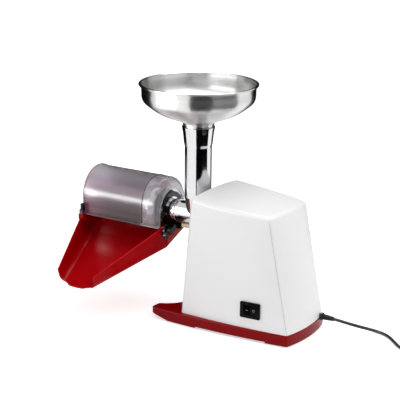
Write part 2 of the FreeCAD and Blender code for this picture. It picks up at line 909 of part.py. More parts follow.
def make_feed_screw():
    base = tee_front_x - cup_length
    core = revolve_x([
        (screw_tail_x, 0),
        (screw_tail_x, core_r),
        (core_front_x, core_r),
        (base, cone_core_big_r),
        (cone_end_x, cone_core_small_r),
        (screw_tip_x, cone_core_small_r),
        (screw_tip_x, 0),
    ])
    core = core.fuse(hexagon_rod(screw_tail_x - 1, screw_tail_x + hex_length, hex_across))
    flight = helix_flight(flight_pitch, flight_turns, flight_r, 0, flight_r - core_r + 2, flight_thick)
    flight.rotate(V(0, 0, 0), Y_AXIS, -90)
    flight.translate(V(flight_start_x, 0, screw_z))
    big_x = base - 4
    small_x = big_x - cone_flight_pitch * cone_flight_turns
    big_r = cone_inner_at(big_x) - cone_flight_clear
    small_r = cone_inner_at(small_x) - cone_flight_clear
    taper = math.degrees(math.atan2(big_r - small_r, big_x - small_x))
    outer = helix_flight(cone_flight_pitch, cone_flight_turns, small_r, taper, cone_flight_depth,
                         flight_thick)
    outer.rotate(V(0, 0, 0), Y_AXIS, 90)
    outer.translate(V(small_x, 0, screw_z))
    keep("feed_screw", core.fuse([flight, outer]).removeSplitter())


# Splash guard and its knobs


def arch(x0, x1, half, bottom_z):
    """A half round tunnel block with upright sides."""
    points = [
        (-half, bottom_z),
        (-half, guard_axis_z),
        (0, guard_axis_z + half, "bulge"),
        (half, guard_axis_z),
        (half, bottom_z),
    ]
    return slab_x(points, x0, x1)


def end_arch_edges(solid, x, bottom_z):
    return [edge for edge in solid.Edges
            if abs(edge.BoundBox.XMin - x) < 0.01 and edge.BoundBox.XLength < 0.01
            and edge.BoundBox.ZMax > bottom_z + 1]


def make_guard():
    low = guard_bottom_z - 10
    outer = arch(guard_end_x, guard_near_x, guard_half, low)
    outer = outer.makeFillet(guard_shoulder_r, end_arch_edges(outer, guard_near_x, low))
    inner = arch(guard_end_x - 1, guard_near_x - guard_wall, guard_half - guard_wall, low - 1)
    inner = inner.makeFillet(guard_shoulder_r - guard_wall,
                             end_arch_edges(inner, guard_near_x - guard_wall, low))
    shell = outer.cut(inner)
    shell = shell.cut(box(-REACH, 0, -REACH / 2, REACH / 2, low - 2, guard_bottom_z))
    slot = rod(guard_near_x - guard_shoulder_r, guard_near_x + 1, guard_hole_r)
    slot = slot.fuse(box(guard_near_x - guard_shoulder_r, guard_near_x + 1, -guard_hole_r, guard_hole_r,
                         low - 1, screw_z))
    shell = shell.cut(slot)
    bead = arch(guard_end_x, guard_end_x + guard_rim_width, guard_half + guard_rim_out, guard_bottom_z)
    bead = bead.cut(arch(guard_end_x - 1, guard_end_x + guard_rim_width + 1, guard_half - guard_wall,
                         guard_bottom_z - 1))
    shell = shell.fuse(bead)
    for side in (-1, 1):
        edge_in = side * (guard_half - guard_wall)
        edge_out = side * guard_flange_y
        flange = box(guard_end_x, guard_flange_near_x, min(edge_in, edge_out), max(edge_in, edge_out),
                     guard_bottom_z, guard_bottom_z + guard_flange_thick)
        pad_top = guard_bottom_z + knob_pad_height
        pad = post(knob_x, side * knob_y, guard_bottom_z, pad_top, knob_pad_r)
        shell = shell.fuse([flange, pad])
        shell = shell.cut(post(knob_x, side * knob_y, guard_bottom_z - 1, pad_top + 1,
                               knob_pin_r + running_gap))
    keep("splash_guard", shell.removeSplitter())


def chute_left_x():
    return chute_centre_x - chute_half


def make_knobs():
    foot = guard_bottom_z + knob_pad_height + fit_gap
    for name, side in (("guard_knob_front", -1), ("guard_knob_rear", 1)):
        y = side * knob_y
        body = post(knob_x, y, foot, foot + knob_height, knob_r)
        rim = [edge for edge in body.Edges if edge.BoundBox.ZMin > foot + knob_height - 0.01]
        body = body.makeFillet(knob_round, rim)
        groove_out = knob_r + knob_groove_out
        for number in range(knob_lobes):
            angle = math.radians(360.0 * number / knob_lobes)
            body = body.cut(post(knob_x + groove_out * math.cos(angle), y + groove_out * math.sin(angle),
                                 foot + knob_groove_rise, foot + knob_height + 1, knob_groove_r))
        pin = post(knob_x, y, foot - knob_pin_length, foot + 1, knob_pin_r)
        keep(name, body.fuse(pin).removeSplitter())


# Drip chute


def trough_section(y, half_top, half_floor, top_z, floor_z, corner, rise):
    """One cross section: walls, rounded corners and floor, closed on top."""
    lean = (half_top - half_floor) / (top_z - floor_z)
    left_low = chute_centre_x - half_floor - lean * corner
    right_low = chute_centre_x + half_floor + lean * corner
    spread = half_top + lean * rise
    bend = corner * 0.29
    points = [
        (chute_centre_x - spread, top_z + rise),
        (left_low, floor_z + corner),
        (chute_centre_x - half_floor + bend, floor_z + bend, "bulge"),
        (chute_centre_x - half_floor + corner, floor_z),
        (chute_centre_x + half_floor - corner, floor_z),
        (chute_centre_x + half_floor - bend, floor_z + bend, "bulge"),
        (right_low, floor_z + corner),
        (chute_centre_x + spread, top_z + rise),
        (chute_centre_x - spread, top_z + rise),
    ]
    return wire_from(points, lambda a, b: V(a, y, b))


def chute_sections(inset, rise):
    """Rear, bend, kink and spout sections of the tray, outside or moved in by its wall."""
    kink_share = (chute_kink_y - chute_bend_y) / (chute_spout_y - chute_bend_y)
    kink_floor = chute_bend_z + (chute_spout_floor_z - chute_bend_z) * kink_share
    rows = [
        (chute_rear_y, chute_half, chute_half - 0.4, chute_top_z, chute_rear_floor_z, 6.0),
        (chute_bend_y, chute_half, chute_bend_half, chute_top_z, chute_bend_z, 8.0),
        (chute_kink_y, chute_half, chute_kink_half, chute_top_z - 1.5, kink_floor, 10.0),
        (chute_spout_y, chute_spout_half, chute_spout_floor_half, chute_spout_top_z,
         chute_spout_floor_z, 12.0),
    ]
    wires = []
    for y, half_top, half_floor, top_z, floor_z, corner in rows:
        if y == chute_rear_y:
            y -= inset
        wires.append(trough_section(y, half_top - inset, half_floor - inset, top_z, floor_z + inset,
                                    corner - inset / 2, rise))
    return wires


def make_chute():
    outer = Part.makeLoft(chute_sections(0, 0), True, True)
    inner = Part.makeLoft(chute_sections(chute_wall, 8), True, True)
    body = outer.cut(inner)
    slope = math.atan2(chute_bend_z - chute_spout_floor_z, chute_bend_y - chute_spout_y)
    lip_share = (chute_lip_y - chute_bend_y) / (chute_spout_y - chute_bend_y)
    lip_z = chute_bend_z + (chute_spout_floor_z - chute_bend_z) * lip_share
    wide = chute_half
    middle = chute_spout_half * 0.42
    shoulder = chute_spout_half * 0.75
    points = [
        (-wide, 0),
        (-shoulder, 0),
        (-middle * 1.35, chute_tongue * 0.42, "bulge"),
        (-middle, chute_tongue * 0.86),
        (0, chute_tongue, "bulge"),
        (middle, chute_tongue * 0.86),
        (middle * 1.35, chute_tongue * 0.42, "bulge"),
        (shoulder, 0),
        (wide, 0),
        (wide, REACH),
        (-wide, REACH),
    ]
    trim = slab_z([(a, -b) + tuple(mark) for a, b, *mark in points], -30, 60)
    trim.rotate(V(0, 0, 0), X_AXIS, math.degrees(slope))
    trim.translate(V(chute_centre_x, chute_lip_y, lip_z))
    body = body.cut(trim)
    # round recess that lets the filter head be drawn out past the end wall
    body = body.cut(rod(guard_end_x - notch_reach, guard_end_x + notch_reach, cup_r + notch_gap))
    left = chute_left_x()
    for side in (-1, 1):
        inner_y = side * (knob_y - lug_length / 2)
        outer_y = side * (knob_y + lug_length / 2)
        lug = box(left + chute_wall / 2, knob_x + lug_depth / 2, min(inner_y, outer_y),
                  max(inner_y, outer_y), chute_top_z - lug_depth, chute_top_z)
        body = body.fuse(lug)
        body = body.cut(post(knob_x, side * knob_y, chute_top_z - lug_depth - 1, chute_top_z + 1,
                             knob_pin_r + fit_gap))
    right = chute_centre_x + chute_half
    slot = box(right - 8, right + 2, wing_y - wing_shank_r - fit_gap, wing_y + wing_shank_r + fit_gap,
               wing_z, chute_top_z + 2)
    slot = slot.fuse(rod(right - 8, right + 2, wing_shank_r + fit_gap, wing_y, wing_z))
    keep("drip_chute", body.cut(slot).removeSplitter())


# Chute arm, clip and wing screw


def make_chute_clip():
    foot_x = case_front_x - flange_thick
    arm = box(arm_tip_x, foot_x, -arm_half, arm_half, arm_bottom_z, arm_top_z)
    foot = box(foot_x - arm_foot_thick, foot_x, -arm_foot_half, arm_foot_half, arm_bottom_z,
               arm_foot_top_z)
    foot = foot.cut(rod(foot_x - arm_foot_thick - 1, foot_x + 1, tube_r + fit_gap))
    arm = arm.fuse(foot)
    for y, z in ring_spots(flange_screw_count, flange_pcd / 2, 45.0):
        if z < 0:
            arm = arm.cut(rod(foot_x - arm_foot_thick - 1, foot_x + 1, flange_screw_r + fit_gap, y,
                              screw_z + z))
    keep("chute_arm", arm.removeSplitter())
    right = chute_centre_x + chute_half
    near = right + clip_gap
    far = near + clip_plate
    cheek = box(near, far, wing_y - cheek_half, wing_y + cheek_half, wing_z - cheek_low,
                wing_z + cheek_high)
    cheek = cheek.fuse(rod(near, far, cheek_r, wing_y, wing_z))
    bridge = box(near, far, wing_y, arm_half + clip_side, arm_bottom_z + 1, arm_top_z + clip_top)
    block = box(near, clip_block_x, -arm_half - clip_side, arm_half + clip_side,
                arm_bottom_z - clip_side, arm_top_z + clip_top)
    clip = cheek.fuse([bridge, block])
    clip = clip.cut(rod(near - 1, far + 1, wing_shank_r + fit_gap, wing_y, wing_z))
    clip = clip.cut(box(arm_tip_x - 0.2, clip_block_x + 1, -arm_half - 0.1, arm_half + 0.1,
                        arm_bottom_z - 0.1, arm_top_z + 5))
    clip = clip.cut(rod(near - 1, clip_block_x + 1, shoulder_r + fit_gap))
    keep("chute_clip", clip.removeSplitter())
    hub = far + fit_gap
    head = rod(hub, hub + wing_length, wing_hub_r, wing_y, wing_z)
    lift = 4.0
    wing = slab_x([
        (wing_y - wing_hub_r * 0.6, wing_z - 3),
        (wing_y - wing_span, wing_z - lift - 7),
        (wing_y - wing_span - 3, wing_z - lift - 1, "bulge"),
        (wing_y - wing_span + 2, wing_z - lift + 6),
        (wing_y, wing_z + 3),
        (wing_y + wing_span - 2, wing_z + lift + 7),
        (wing_y + wing_span + 3, wing_z + lift + 1, "bulge"),
        (wing_y + wing_span - 2, wing_z + lift - 6),
        (wing_y + wing_hub_r * 0.6, wing_z - 4),
    ], hub + 2.2, hub + wing_length - 1.6)
    inner_x = right - chute_wall - 1.4
    shank = rod(inner_x - nut_thick - 1.5, hub + 1, wing_shank_r, wing_y, wing_z)
    keep("wing_screw", head.fuse([wing, shank]).removeSplitter())
    nut = hexagon_rod(inner_x - nut_thick, inner_x, nut_across, wing_y, wing_z)
    keep("clamp_nut", nut.cut(rod(inner_x - nut_thick - 1, inner_x + 1, wing_shank_r + running_gap,
                                  wing_y, wing_z)))


# Gear train


def idler_z():
    return screw_z - stage2_module * (stage2_pinion_teeth + stage2_gear_teeth) / 2


def motor_z():
    return idler_z() - stage1_module * (stage1_pinion_teeth + stage1_gear_teeth) / 2


def gear_points(module, teeth, first_deg):
    """Outline of a spur gear with a tooth centred on the given angle."""
    pressure = math.radians(pressure_deg)
    pitch_r = module * teeth / 2
    base_r = pitch_r * math.cos(pressure)
    tip_r = pitch_r + addendum_share * module
    root_r = pitch_r - dedendum_share * module
    half_pitch = math.pi / (2 * teeth) - tooth_backlash / (4 * pitch_r)
    roll_pitch = math.tan(pressure) - pressure

    def half_angle(radius):
        turn = math.acos(min(base_r / radius, 1.0))
        return half_pitch + roll_pitch - (math.tan(turn) - turn)

    start_r = max(base_r, root_r + 0.2)
    radii = [root_r, start_r, (start_r + 2 * pitch_r) / 3, (pitch_r + tip_r) / 2, tip_r]
    flank = [(radius, half_angle(max(radius, start_r))) for radius in radii]
    points = []
    for number in range(teeth):
        centre = math.radians(first_deg) + 2 * math.pi * number / teeth
        for radius, angle in flank:
            points.append((radius * math.cos(centre - angle), radius * math.sin(centre - angle)))
        for radius, angle in reversed(flank):
            points.append((radius * math.cos(centre + angle), radius * math.sin(centre + angle)))
    return points


def spur_gear(module, teeth, first_deg, x0, width, z):
    points = [(y, z + b) for y, b in gear_points(module, teeth, first_deg)]
    return slab_x(points, x0, x0 + width)


def case_discs(shrink):
    """Height and radius of the three rounds that make up the case."""
    return [
        (screw_z, stage2_module * (stage2_gear_teeth / 2 + 1) + gear_clear + case_wall - shrink),
        (idler_z(), stage1_module * (stage1_gear_teeth / 2 + 1) + gear_clear + case_wall - shrink),
        (motor_z(), 2 * bearing_r + case_wall - shrink),
    ]


def case_outline(shrink, x0, x1):
    """Upright case round the output gear, the idler gear and the motor pinion."""
    discs = case_discs(shrink)
    solids = [rod(x0, x1, radius, 0.0, z) for z, radius in discs]
    for (z1, r1), (z2, r2) in zip(discs, discs[1:]):
        rise = (r2 - r1) / (z1 - z2)
        run = math.sqrt(1 - rise ** 2)
        solids.append(slab_x([
            (-r1 * run, z1 + r1 * rise),
            (r1 * run, z1 + r1 * rise),
            (r2 * run, z2 + r2 * rise),
            (-r2 * run, z2 + r2 * rise),
        ], x0, x1))
    return fuse_all(solids)


def case_bolt_spots():
    """Screws stand in ears just outside the rounds of the case."""
    spots = []
    for (z, radius), angle_deg in zip(case_discs(0), case_ear_degs):
        angle = math.radians(angle_deg)
        reach = radius + case_ear_out
        for side in (-1, 1):
            spots.append((side * reach * math.cos(angle), z + reach * math.sin(angle)))
    return spots


def make_gearbox():
    back = case_front_x + case_depth
    case = case_outline(0, case_front_x, back)
    legs = []
    for side in (-1, 1):
        y = side * leg_y
        legs.append(box(case_front_x, case_front_x + 12, y - leg_width / 2, y + leg_width / 2,
                        house_bottom_z, idler_z()))
        legs.append(box(case_front_x, case_front_x + leg_foot, y - leg_width / 2, y + leg_width / 2,
                        house_bottom_z, house_bottom_z + 6))
    case = case.fuse(legs).cut(case_outline(case_wall, case_front_x + case_wall, back + 1))
    bosses = [rod(case_front_x + 1, stage2_x - 0.5, output_shaft_r + bush_wall + 3)]
    bosses.append(rod(case_front_x + 1, stage2_x - 0.5, idler_shaft_r + 4, 0.0, idler_z()))
    for y, z in case_bolt_spots():
        bosses.append(rod(back - case_ear_length, back, lid_screw_r + case_ear_wall, y, z))
    case = case.fuse(bosses)
    case = case.cut(rod(case_front_x - 1, stage2_x, output_shaft_r + bush_wall + press_gap))
    case = case.cut(rod(case_front_x + 2, stage2_x, idler_shaft_r + running_gap, 0.0, idler_z()))
    for y, z in case_bolt_spots():
        case = case.cut(rod(back - 14, back + 1, lid_screw_r + press_gap, y, z))
    for y, z in ring_spots(flange_screw_count, flange_pcd / 2, 45.0):
        case = case.cut(rod(case_front_x - 1, case_front_x + case_wall + 1, flange_screw_r + press_gap,
                            y, screw_z + z))
    keep("gearbox_case", case.removeSplitter())
    lid = case_outline(0, back, back + lid_thick)
    for y, z in case_bolt_spots():
        lid = lid.fuse(rod(back, back + lid_thick, lid_screw_r + case_ear_wall, y, z))
    lid = lid.fuse(rod(back - 4, back + lid_thick, output_shaft_r + bush_wall + 3))
    lid = lid.cut(rod(back - 5, back + lid_thick - 1.5, output_shaft_r + bush_wall + press_gap))
    lid = lid.fuse(rod(back - 4, back + lid_thick, idler_shaft_r + 4, 0.0, idler_z()))
    lid = lid.cut(rod(back - 5, back + lid_thick - 1.5, idler_shaft_r + running_gap, 0.0, idler_z()))
    lid = lid.cut(rod(back - 5, back + lid_thick + 1, bearing_r - 2, 0.0, motor_z()))
    for y, z in case_bolt_spots():
        lid = lid.cut(rod(back - 1, back + lid_thick + 1, lid_screw_r + fit_gap, y, z))
    keep("gearbox_lid", lid.removeSplitter())
    screws = []
    for y, z in case_bolt_spots():
        head = rod(back + lid_thick, back + lid_thick + 2.4, lid_head_r, y, z)
        shank = rod(back - 12, back + lid_thick, lid_screw_r, y, z)
        screws.append(head.fuse(shank).removeSplitter())
    keep("gearbox_screws", Part.makeCompound(screws))
    screws = []
    for y, z in ring_spots(flange_screw_count, flange_pcd / 2, 45.0):
        face = case_front_x - flange_thick
        if z < 0:
            face -= arm_foot_thick
        head = rod(face - flange_head_h, face, flange_head_r, y, screw_z + z)
        shank = rod(face, case_front_x + case_wall, flange_screw_r, y, screw_z + z)
        screws.append(head.fuse(shank).removeSplitter())
    keep("feed_flange_screws", Part.makeCompound(screws))
    rear_bush = tube(back - 4, back + lid_thick - 1.5, output_shaft_r + bush_wall,
                     output_shaft_r + running_gap)
    front_bush = tube(case_front_x, stage2_x - 0.5, output_shaft_r + bush_wall,
                      output_shaft_r + running_gap)
    keep("output_bushes", Part.makeCompound([front_bush, rear_bush]))


def make_gears():
    back = case_front_x + case_depth
    gear = spur_gear(stage2_module, stage2_gear_teeth, -90 + 180.0 / stage2_gear_teeth, stage2_x,
                     stage2_face, screw_z)
    keep("output_gear", gear.cut(rod(stage2_x - 1, stage2_x + stage2_face + 1, output_shaft_r + press_gap)))
    shaft = rod(case_front_x - 1, back + lid_thick - 2, output_shaft_r)
    shaft = shaft.fuse(rod(output_sleeve_x, case_front_x - 0.5, output_sleeve_r))
    socket = hexagon_rod(output_sleeve_x - 1, screw_tail_x + hex_length + 1, hex_across + 2 * hex_gap)
    keep("output_shaft", shaft.cut(socket).removeSplitter())
    pinion = spur_gear(stage2_module, stage2_pinion_teeth, 90, stage2_x, stage2_face + 1.5, idler_z())
    pinion = pinion.fuse(rod(case_front_x + 2.2, back + lid_thick - 2, idler_shaft_r, 0.0, idler_z()))
    keep("idler_pinion", pinion.removeSplitter())
    gear = spur_gear(stage1_module, stage1_gear_teeth, -90 + 180.0 / stage1_gear_teeth, stage1_x,
                     stage1_face, idler_z())
    keep("idler_gear", gear.cut(rod(stage1_x - 1, stage1_x + stage1_face + 1, idler_shaft_r + press_gap,
                                    0.0, idler_z())))
    pinion = spur_gear(stage1_module, stage1_pinion_teeth, 90, stage1_x - 1, stage1_face + 2, motor_z())
    keep("motor_pinion", pinion.cut(rod(stage1_x - 2, stage1_x + stage1_face + 2,
                                        pinion_shaft_r + press_gap, 0.0, motor_z())))
    seal_x = case_front_x - flange_thick - seal_length
    keep("shaft_seal", tube(seal_x, seal_x + seal_length, tube_bore_r - press_gap, output_sleeve_r + 0.1))


# Motor


def shield_x():
    return case_front_x + case_depth + lid_thick


def stator_x():
    return shield_x() + shield_depth


def rounded_block(x0, x1, side, corner):
    half = side / 2
    block = box(x0, x1, -half, half, motor_z() - half, motor_z() + half)
    edges = [edge for edge in block.Edges if abs(edge.BoundBox.XLength - (x1 - x0)) < 0.01]
    return block.makeFillet(corner, edges)


def bolt_spots():
    reach = stator_side / 2 - bolt_inset
    return [(y * reach, motor_z() + z * reach) for y in (-1, 1) for z in (-1, 1)]


def shield(plate_x, rim_x0, rim_x1):
    """An end shield: square rim, plate on its outer side and a bearing seat."""
    cap = rounded_block(min(plate_x, rim_x0), max(plate_x + shield_plate, rim_x1), stator_side, 10.0)
    hollow = Part.makeCylinder(stator_side / 2 - shield_wall + 1, rim_x1 - rim_x0,
                               V(rim_x0, 0, motor_z()), X_AXIS)
    cap = cap.cut(hollow)
    return cap


def make_motor():
    front = shield_x()
    start = stator_x()
    end = start + stator_length
    rear = end + shield_depth
    z = motor_z()
    front_shield = shield(front, front + shield_plate, start)
    seat = rod(front, front + bearing_width + 3, bearing_r + 4, 0.0, z)
    front_shield = front_shield.fuse(seat)
    front_shield = front_shield.cut(rod(front + 2, front + bearing_width + 4, bearing_r + press_gap, 0.0, z))
    front_shield = front_shield.cut(rod(front - 1, front + 3, motor_shaft_r + 1, 0.0, z))
    for y, b in case_bolt_spots():
        front_shield = front_shield.cut(rod(front - 1, front + 3.2, lid_head_r + 0.4, y, b))
    rear_shield = shield(rear - shield_plate, end, rear - shield_plate)
    seat = rod(rear - bearing_width - 3, rear, bearing_r + 4, 0.0, z)
    rear_shield = rear_shield.fuse(seat)
    rear_shield = rear_shield.cut(rod(rear - bearing_width - 4, rear - 2, bearing_r + press_gap, 0.0, z))
    rear_shield = rear_shield.cut(rod(rear - 3, rear + 1, motor_shaft_r + 1, 0.0, z))
    for number in range(6):
        angle = math.radians(60 * number + 30)
        y = 30 * math.cos(angle)
        b = 30 * math.sin(angle)
        rear_shield = rear_shield.cut(rod(rear - shield_plate - 1, rear + 1, 7.0, y, z + b))
    core = rounded_block(start, end, stator_side, 10.0)
    core = core.cut(rod(start - 1, end + 1, stator_bore_r, 0.0, z))
    bars = []
    for number in range(stator_slots):
        turn = 360.0 * number / stator_slots
        mouth = box(start - 1, end + 1, -1.2, 1.2, z + stator_bore_r - 2, z + slot_inner_r + 1)
        slot = box(start - 1, end + 1, -slot_bar_width / 2, slot_bar_width / 2, z + slot_inner_r,
                   z + slot_outer_r)
        bar = box(start - 1, end + 1, -slot_bar_width / 2 + fit_gap, slot_bar_width / 2 - fit_gap,
                  z + slot_inner_r + fit_gap, z + slot_outer_r - fit_gap)
        for shape in (mouth, slot, bar):
            shape.rotate(V(0, 0, z), X_AXIS, turn)
        core = core.cut(mouth.fuse(slot))
        bars.append(bar)
    rings = []
    for x0, x1 in ((start - end_turn, start - 1), (end + 1, end + end_turn)):
        rings.append(tube(x0, x1, slot_outer_r, slot_inner_r, 0.0, z))
    windings = fuse_all(rings + bars)
    for y, b in bolt_spots():
        core = core.cut(rod(start - 1, end + 1, bolt_r + fit_gap, y, b))
        front_shield = front_shield.cut(rod(front + 4, start + 1, bolt_r + press_gap, y, b))
        rear_shield = rear_shield.cut(rod(end - 1, rear + 1, bolt_r + fit_gap, y, b))
    keep("front_shield", front_shield.removeSplitter())
    keep("rear_shield", rear_shield.removeSplitter())
    keep("stator_core", core.removeSplitter())
    keep("stator_windings", windings)
    bolts = []
    for y, b in bolt_spots():
        head = rod(rear, rear + 3, bolt_r + 1.8, y, b)
        bolts.append(head.fuse(rod(front + 5, rear, bolt_r, y, b)).removeSplitter())
    keep("through_bolts", Part.makeCompound(bolts))
    bearings = []
    for x0 in (front + 2, rear - 2 - bearing_width):
        bearings.append(tube(x0, x0 + bearing_width, bearing_r, motor_shaft_r + running_gap, 0.0, z))
    keep("motor_bearings", Part.makeCompound(bearings))
    keep("rotor_core", tube(start, end, rotor_r, motor_shaft_r + press_gap, 0.0, z))
    shaft = rod(front + 0.5, shaft_end_x, motor_shaft_r, 0.0, z)
    shaft = shaft.fuse(rod(stage1_x - 1, front + 1, pinion_shaft_r, 0.0, z))
    keep("motor_shaft", shaft.removeSplitter())
    fan = tube(fan_x, fan_x + fan_width, motor_shaft_r + 5, motor_shaft_r + press_gap, 0.0, z)
    fan = fan.fuse(tube(fan_x, fan_x + 1.6, fan_r, motor_shaft_r + 1, 0.0, z))
    for number in range(fan_blades):
        blade = box(fan_x + 1, fan_x + fan_width, -0.9, 0.9, z + motor_shaft_r + 3, z + fan_r)
        blade.rotate(V(0, 0, z), X_AXIS, 360.0 * number / fan_blades)
        fan = fan.fuse(blade)
    keep("cooling_fan", fan.removeSplitter())


def make_cradle():
    start = shield_x()
    end = stator_x() + stator_length + shield_depth
    inner = stator_side / 2
    outer = inner + cradle_sheet
    bottom = motor_z() - stator_side / 2
    floor = box(start, end, -outer, outer, house_bottom_z, house_bottom_z + cradle_sheet)
    sides = []
    for side in (-1, 1):
        y0 = min(side * inner, side * outer)
        sides.append(box(start, end, y0, y0 + cradle_sheet, house_bottom_z, motor_z() - 12))
    shelf = box(start, end, -inner, inner, bottom - cradle_sheet, bottom)
    cradle = fuse_all([floor, shelf] + sides)
    cradle = cradle.cut(box(start + 16, end - 16, -outer - 1, outer + 1, house_bottom_z + 12, bottom - 8))
    keep("motor_cradle", cradle)
    screws = []
    for x in (start + 8, end - 8):
        for y in (-30, 30):
            head = post(x, y, house_bottom_z + cradle_sheet, house_bottom_z + cradle_sheet + 2.5, 3.6)
            screws.append(head.fuse(post(x, y, house_bottom_z - base_plate + 0.2,
                                         house_bottom_z + cradle_sheet, 2.0)).removeSplitter())
    for x, y, *_ in [(case_front_x + leg_foot - 5, side * leg_y) for side in (-1, 1)]:
        head = post(x, y, house_bottom_z + 6, house_bottom_z + 8.5, 3.6)
        screws.append(head.fuse(post(x, y, house_bottom_z - base_plate + 0.2, house_bottom_z + 6,
                                     2.0)).removeSplitter())
    tool = Part.makeCompound(screws)
    parts["motor_cradle"] = parts["motor_cradle"].cut(tool)
    parts["base_tray"] = parts["base_tray"].cut(tool)
    parts["gearbox_case"] = parts["gearbox_case"].cut(tool)
    keep("cradle_screws", tool)


def make_capacitor():
    top = motor_z() + stator_side / 2
    axis_z = top + clip_sheet + capacitor_r + clip_sheet
    x0 = stator_x() - 6
    can = rod(x0, x0 + capacitor_length, capacitor_r, capacitor_y, axis_z)
    rim_edges = [edge for edge in can.Edges if edge.BoundBox.XLength < 0.01]
    can = can.makeFillet(1.5, rim_edges)
    for y in (-4, 4):
        can = can.fuse(box(x0 + capacitor_length, x0 + capacitor_length + 7, capacitor_y + y - 0.4,
                           capacitor_y + y + 0.4, axis_z - 3, axis_z + 3))
    keep("run_capacitor", can)
    band = tube(x0 + 20, x0 + 34, capacitor_r + fit_gap + clip_sheet, capacitor_r + fit_gap,
                capacitor_y, axis_z)
    foot = box(x0 + 20, x0 + 34, -30, capacitor_y + 4, top, top + clip_sheet)
    riser = box(x0 + 20, x0 + 34, capacitor_y - 5, capacitor_y + 5, top, top + 2 * clip_sheet)
    clip = band.fuse([foot, riser]).cut(rod(x0, x0 + capacitor_length, capacitor_r + fit_gap, capacitor_y,
                                            axis_z))
    keep("capacitor_clip", clip.removeSplitter())


def make_terminal_block():
    x0 = 186.0
    block = box(x0, x0 + 14, -34, -6, house_bottom_z, house_bottom_z + 15)
    for number in range(3):
        y = -29.5 + 9.0 * number
        block = block.cut(post(x0 + 4, y, house_bottom_z + 6, house_bottom_z + 16, 2.2))
        block = block.cut(post(x0 + 10, y, house_bottom_z + 6, house_bottom_z + 16, 2.2))
    keep("terminal_block", block)


# Switch, built face to -Y in its own frame


def make_switch():
    bezel = box(-bezel_length / 2, bezel_length / 2, -bezel_thick, -0.1, -bezel_height / 2,
                bezel_height / 2)
    edges = [edge for edge in bezel.Edges if abs(edge.BoundBox.YLength - bezel_thick + 0.1) < 0.01]
    bezel = bezel.makeFillet(2.5, edges)
    barrel = box(-switch_cut_length / 2 + fit_gap, switch_cut_length / 2 - fit_gap, -0.5, switch_depth,
                 -switch_cut_height / 2 + fit_gap, switch_cut_height / 2 - fit_gap)
    body = bezel.fuse(barrel)
    well = box(-rocker_length / 2 - 0.8, rocker_length / 2 + 0.8, -bezel_thick - 1, 9,
               -rocker_height / 2 - 0.6, rocker_height / 2 + 0.6)
    body = body.cut(well)
    for x in (-8, 0, 8):
        body = body.fuse(box(x - 0.4, x + 0.4, switch_depth - 1, switch_depth + 7, -3, 3))
    pin_y = 2.0
    body = body.cut(Part.makeCylinder(1.5, rocker_height + 5, V(0, pin_y, -rocker_height / 2 - 2.5), Z_AXIS))
    keep("switch_body", switch_frame(body.removeSplitter()))
    half = rocker_length / 2
    drop = half * math.tan(math.radians(rocker_tilt))
    face = -bezel_thick - 0.4
    profile = [
        (-half, face + 0.2),
        (0, face + drop * 0.8),
        (half, face + 0.2),
        (half - 0.6, pin_y + 2.0),
        (0, pin_y + 5.2, "bulge"),
        (-half + 0.6, pin_y + 2.0),
    ]
    rocker = slab_z(profile, -rocker_height / 2, rocker_height / 2)
    rocker = rocker.fuse(Part.makeCylinder(1.5 - running_gap, rocker_height + 4,
                                           V(0, pin_y, -rocker_height / 2 - 2), Z_AXIS))
    rocker = rocker.removeSplitter()
    rocker.rotate(V(0, pin_y, 0), Z_AXIS, rocker_tilt)
    keep("switch_rocker", switch_frame(rocker))


# Collar, gland and lead


def make_collar():
    front = house_front_at(screw_z)
    collar = tube(front - 4.5, front + 4.0, tube_r + 1.6 - fit_gap, tube_r + fit_gap)
    collar = collar.cut(box(front - 20, front + 20, -arm_half - 1, arm_half + 1, 0, screw_z))
    keep("front_collar", collar)


def cord_path(points):
    """Straight runs joined by arcs that are as large as the runs allow."""
    spots = [V(*point) for point in points]
    edges = []
    radii = []
    cursor = spots[0]
    length = 0.0
    for before, corner, after in zip(spots, spots[1:], spots[2:]):
        run_in = corner - before
        run_out = after - corner
        turn = run_in.getAngle(run_out)
        setback = 0.45 * min(run_in.Length, run_out.Length)
        radius = setback / math.tan(turn / 2)
        radii.append(round(radius, 1))
        start = corner - V(run_in).normalize() * setback
        end = corner + V(run_out).normalize() * setback
        inward = (start + end) * 0.5 - corner
        centre = corner + V(inward).normalize() * (radius / math.cos(turn / 2))
        middle = centre - V(inward).normalize() * radius
        edges.append(Part.LineSegment(cursor, start).toShape())
        edges.append(Part.Arc(start, middle, end).toShape())
        length += (start - cursor).Length + radius * turn
        cursor = end
    edges.append(Part.LineSegment(cursor, spots[-1]).toShape())
    length += (spots[-1] - cursor).Length
    return Part.Wire(edges), length, radii


def cord_tube(name, points):
    wire, length, radii = cord_path(points)
    first = V(*points[0])
    heading = (V(*points[1]) - first).normalize()
    circle = Part.Wire(Part.makeCircle(cord_r, first, heading))
    solid = wire.makePipeShell([circle], True, True)
    section = math.pi * cord_r ** 2
    print(name, "radii", radii)
    print(name, "length", round(length, 1), "volume over section x length",
          round(solid.Volume / (section * length), 4))
    keep(name, solid)
    return length


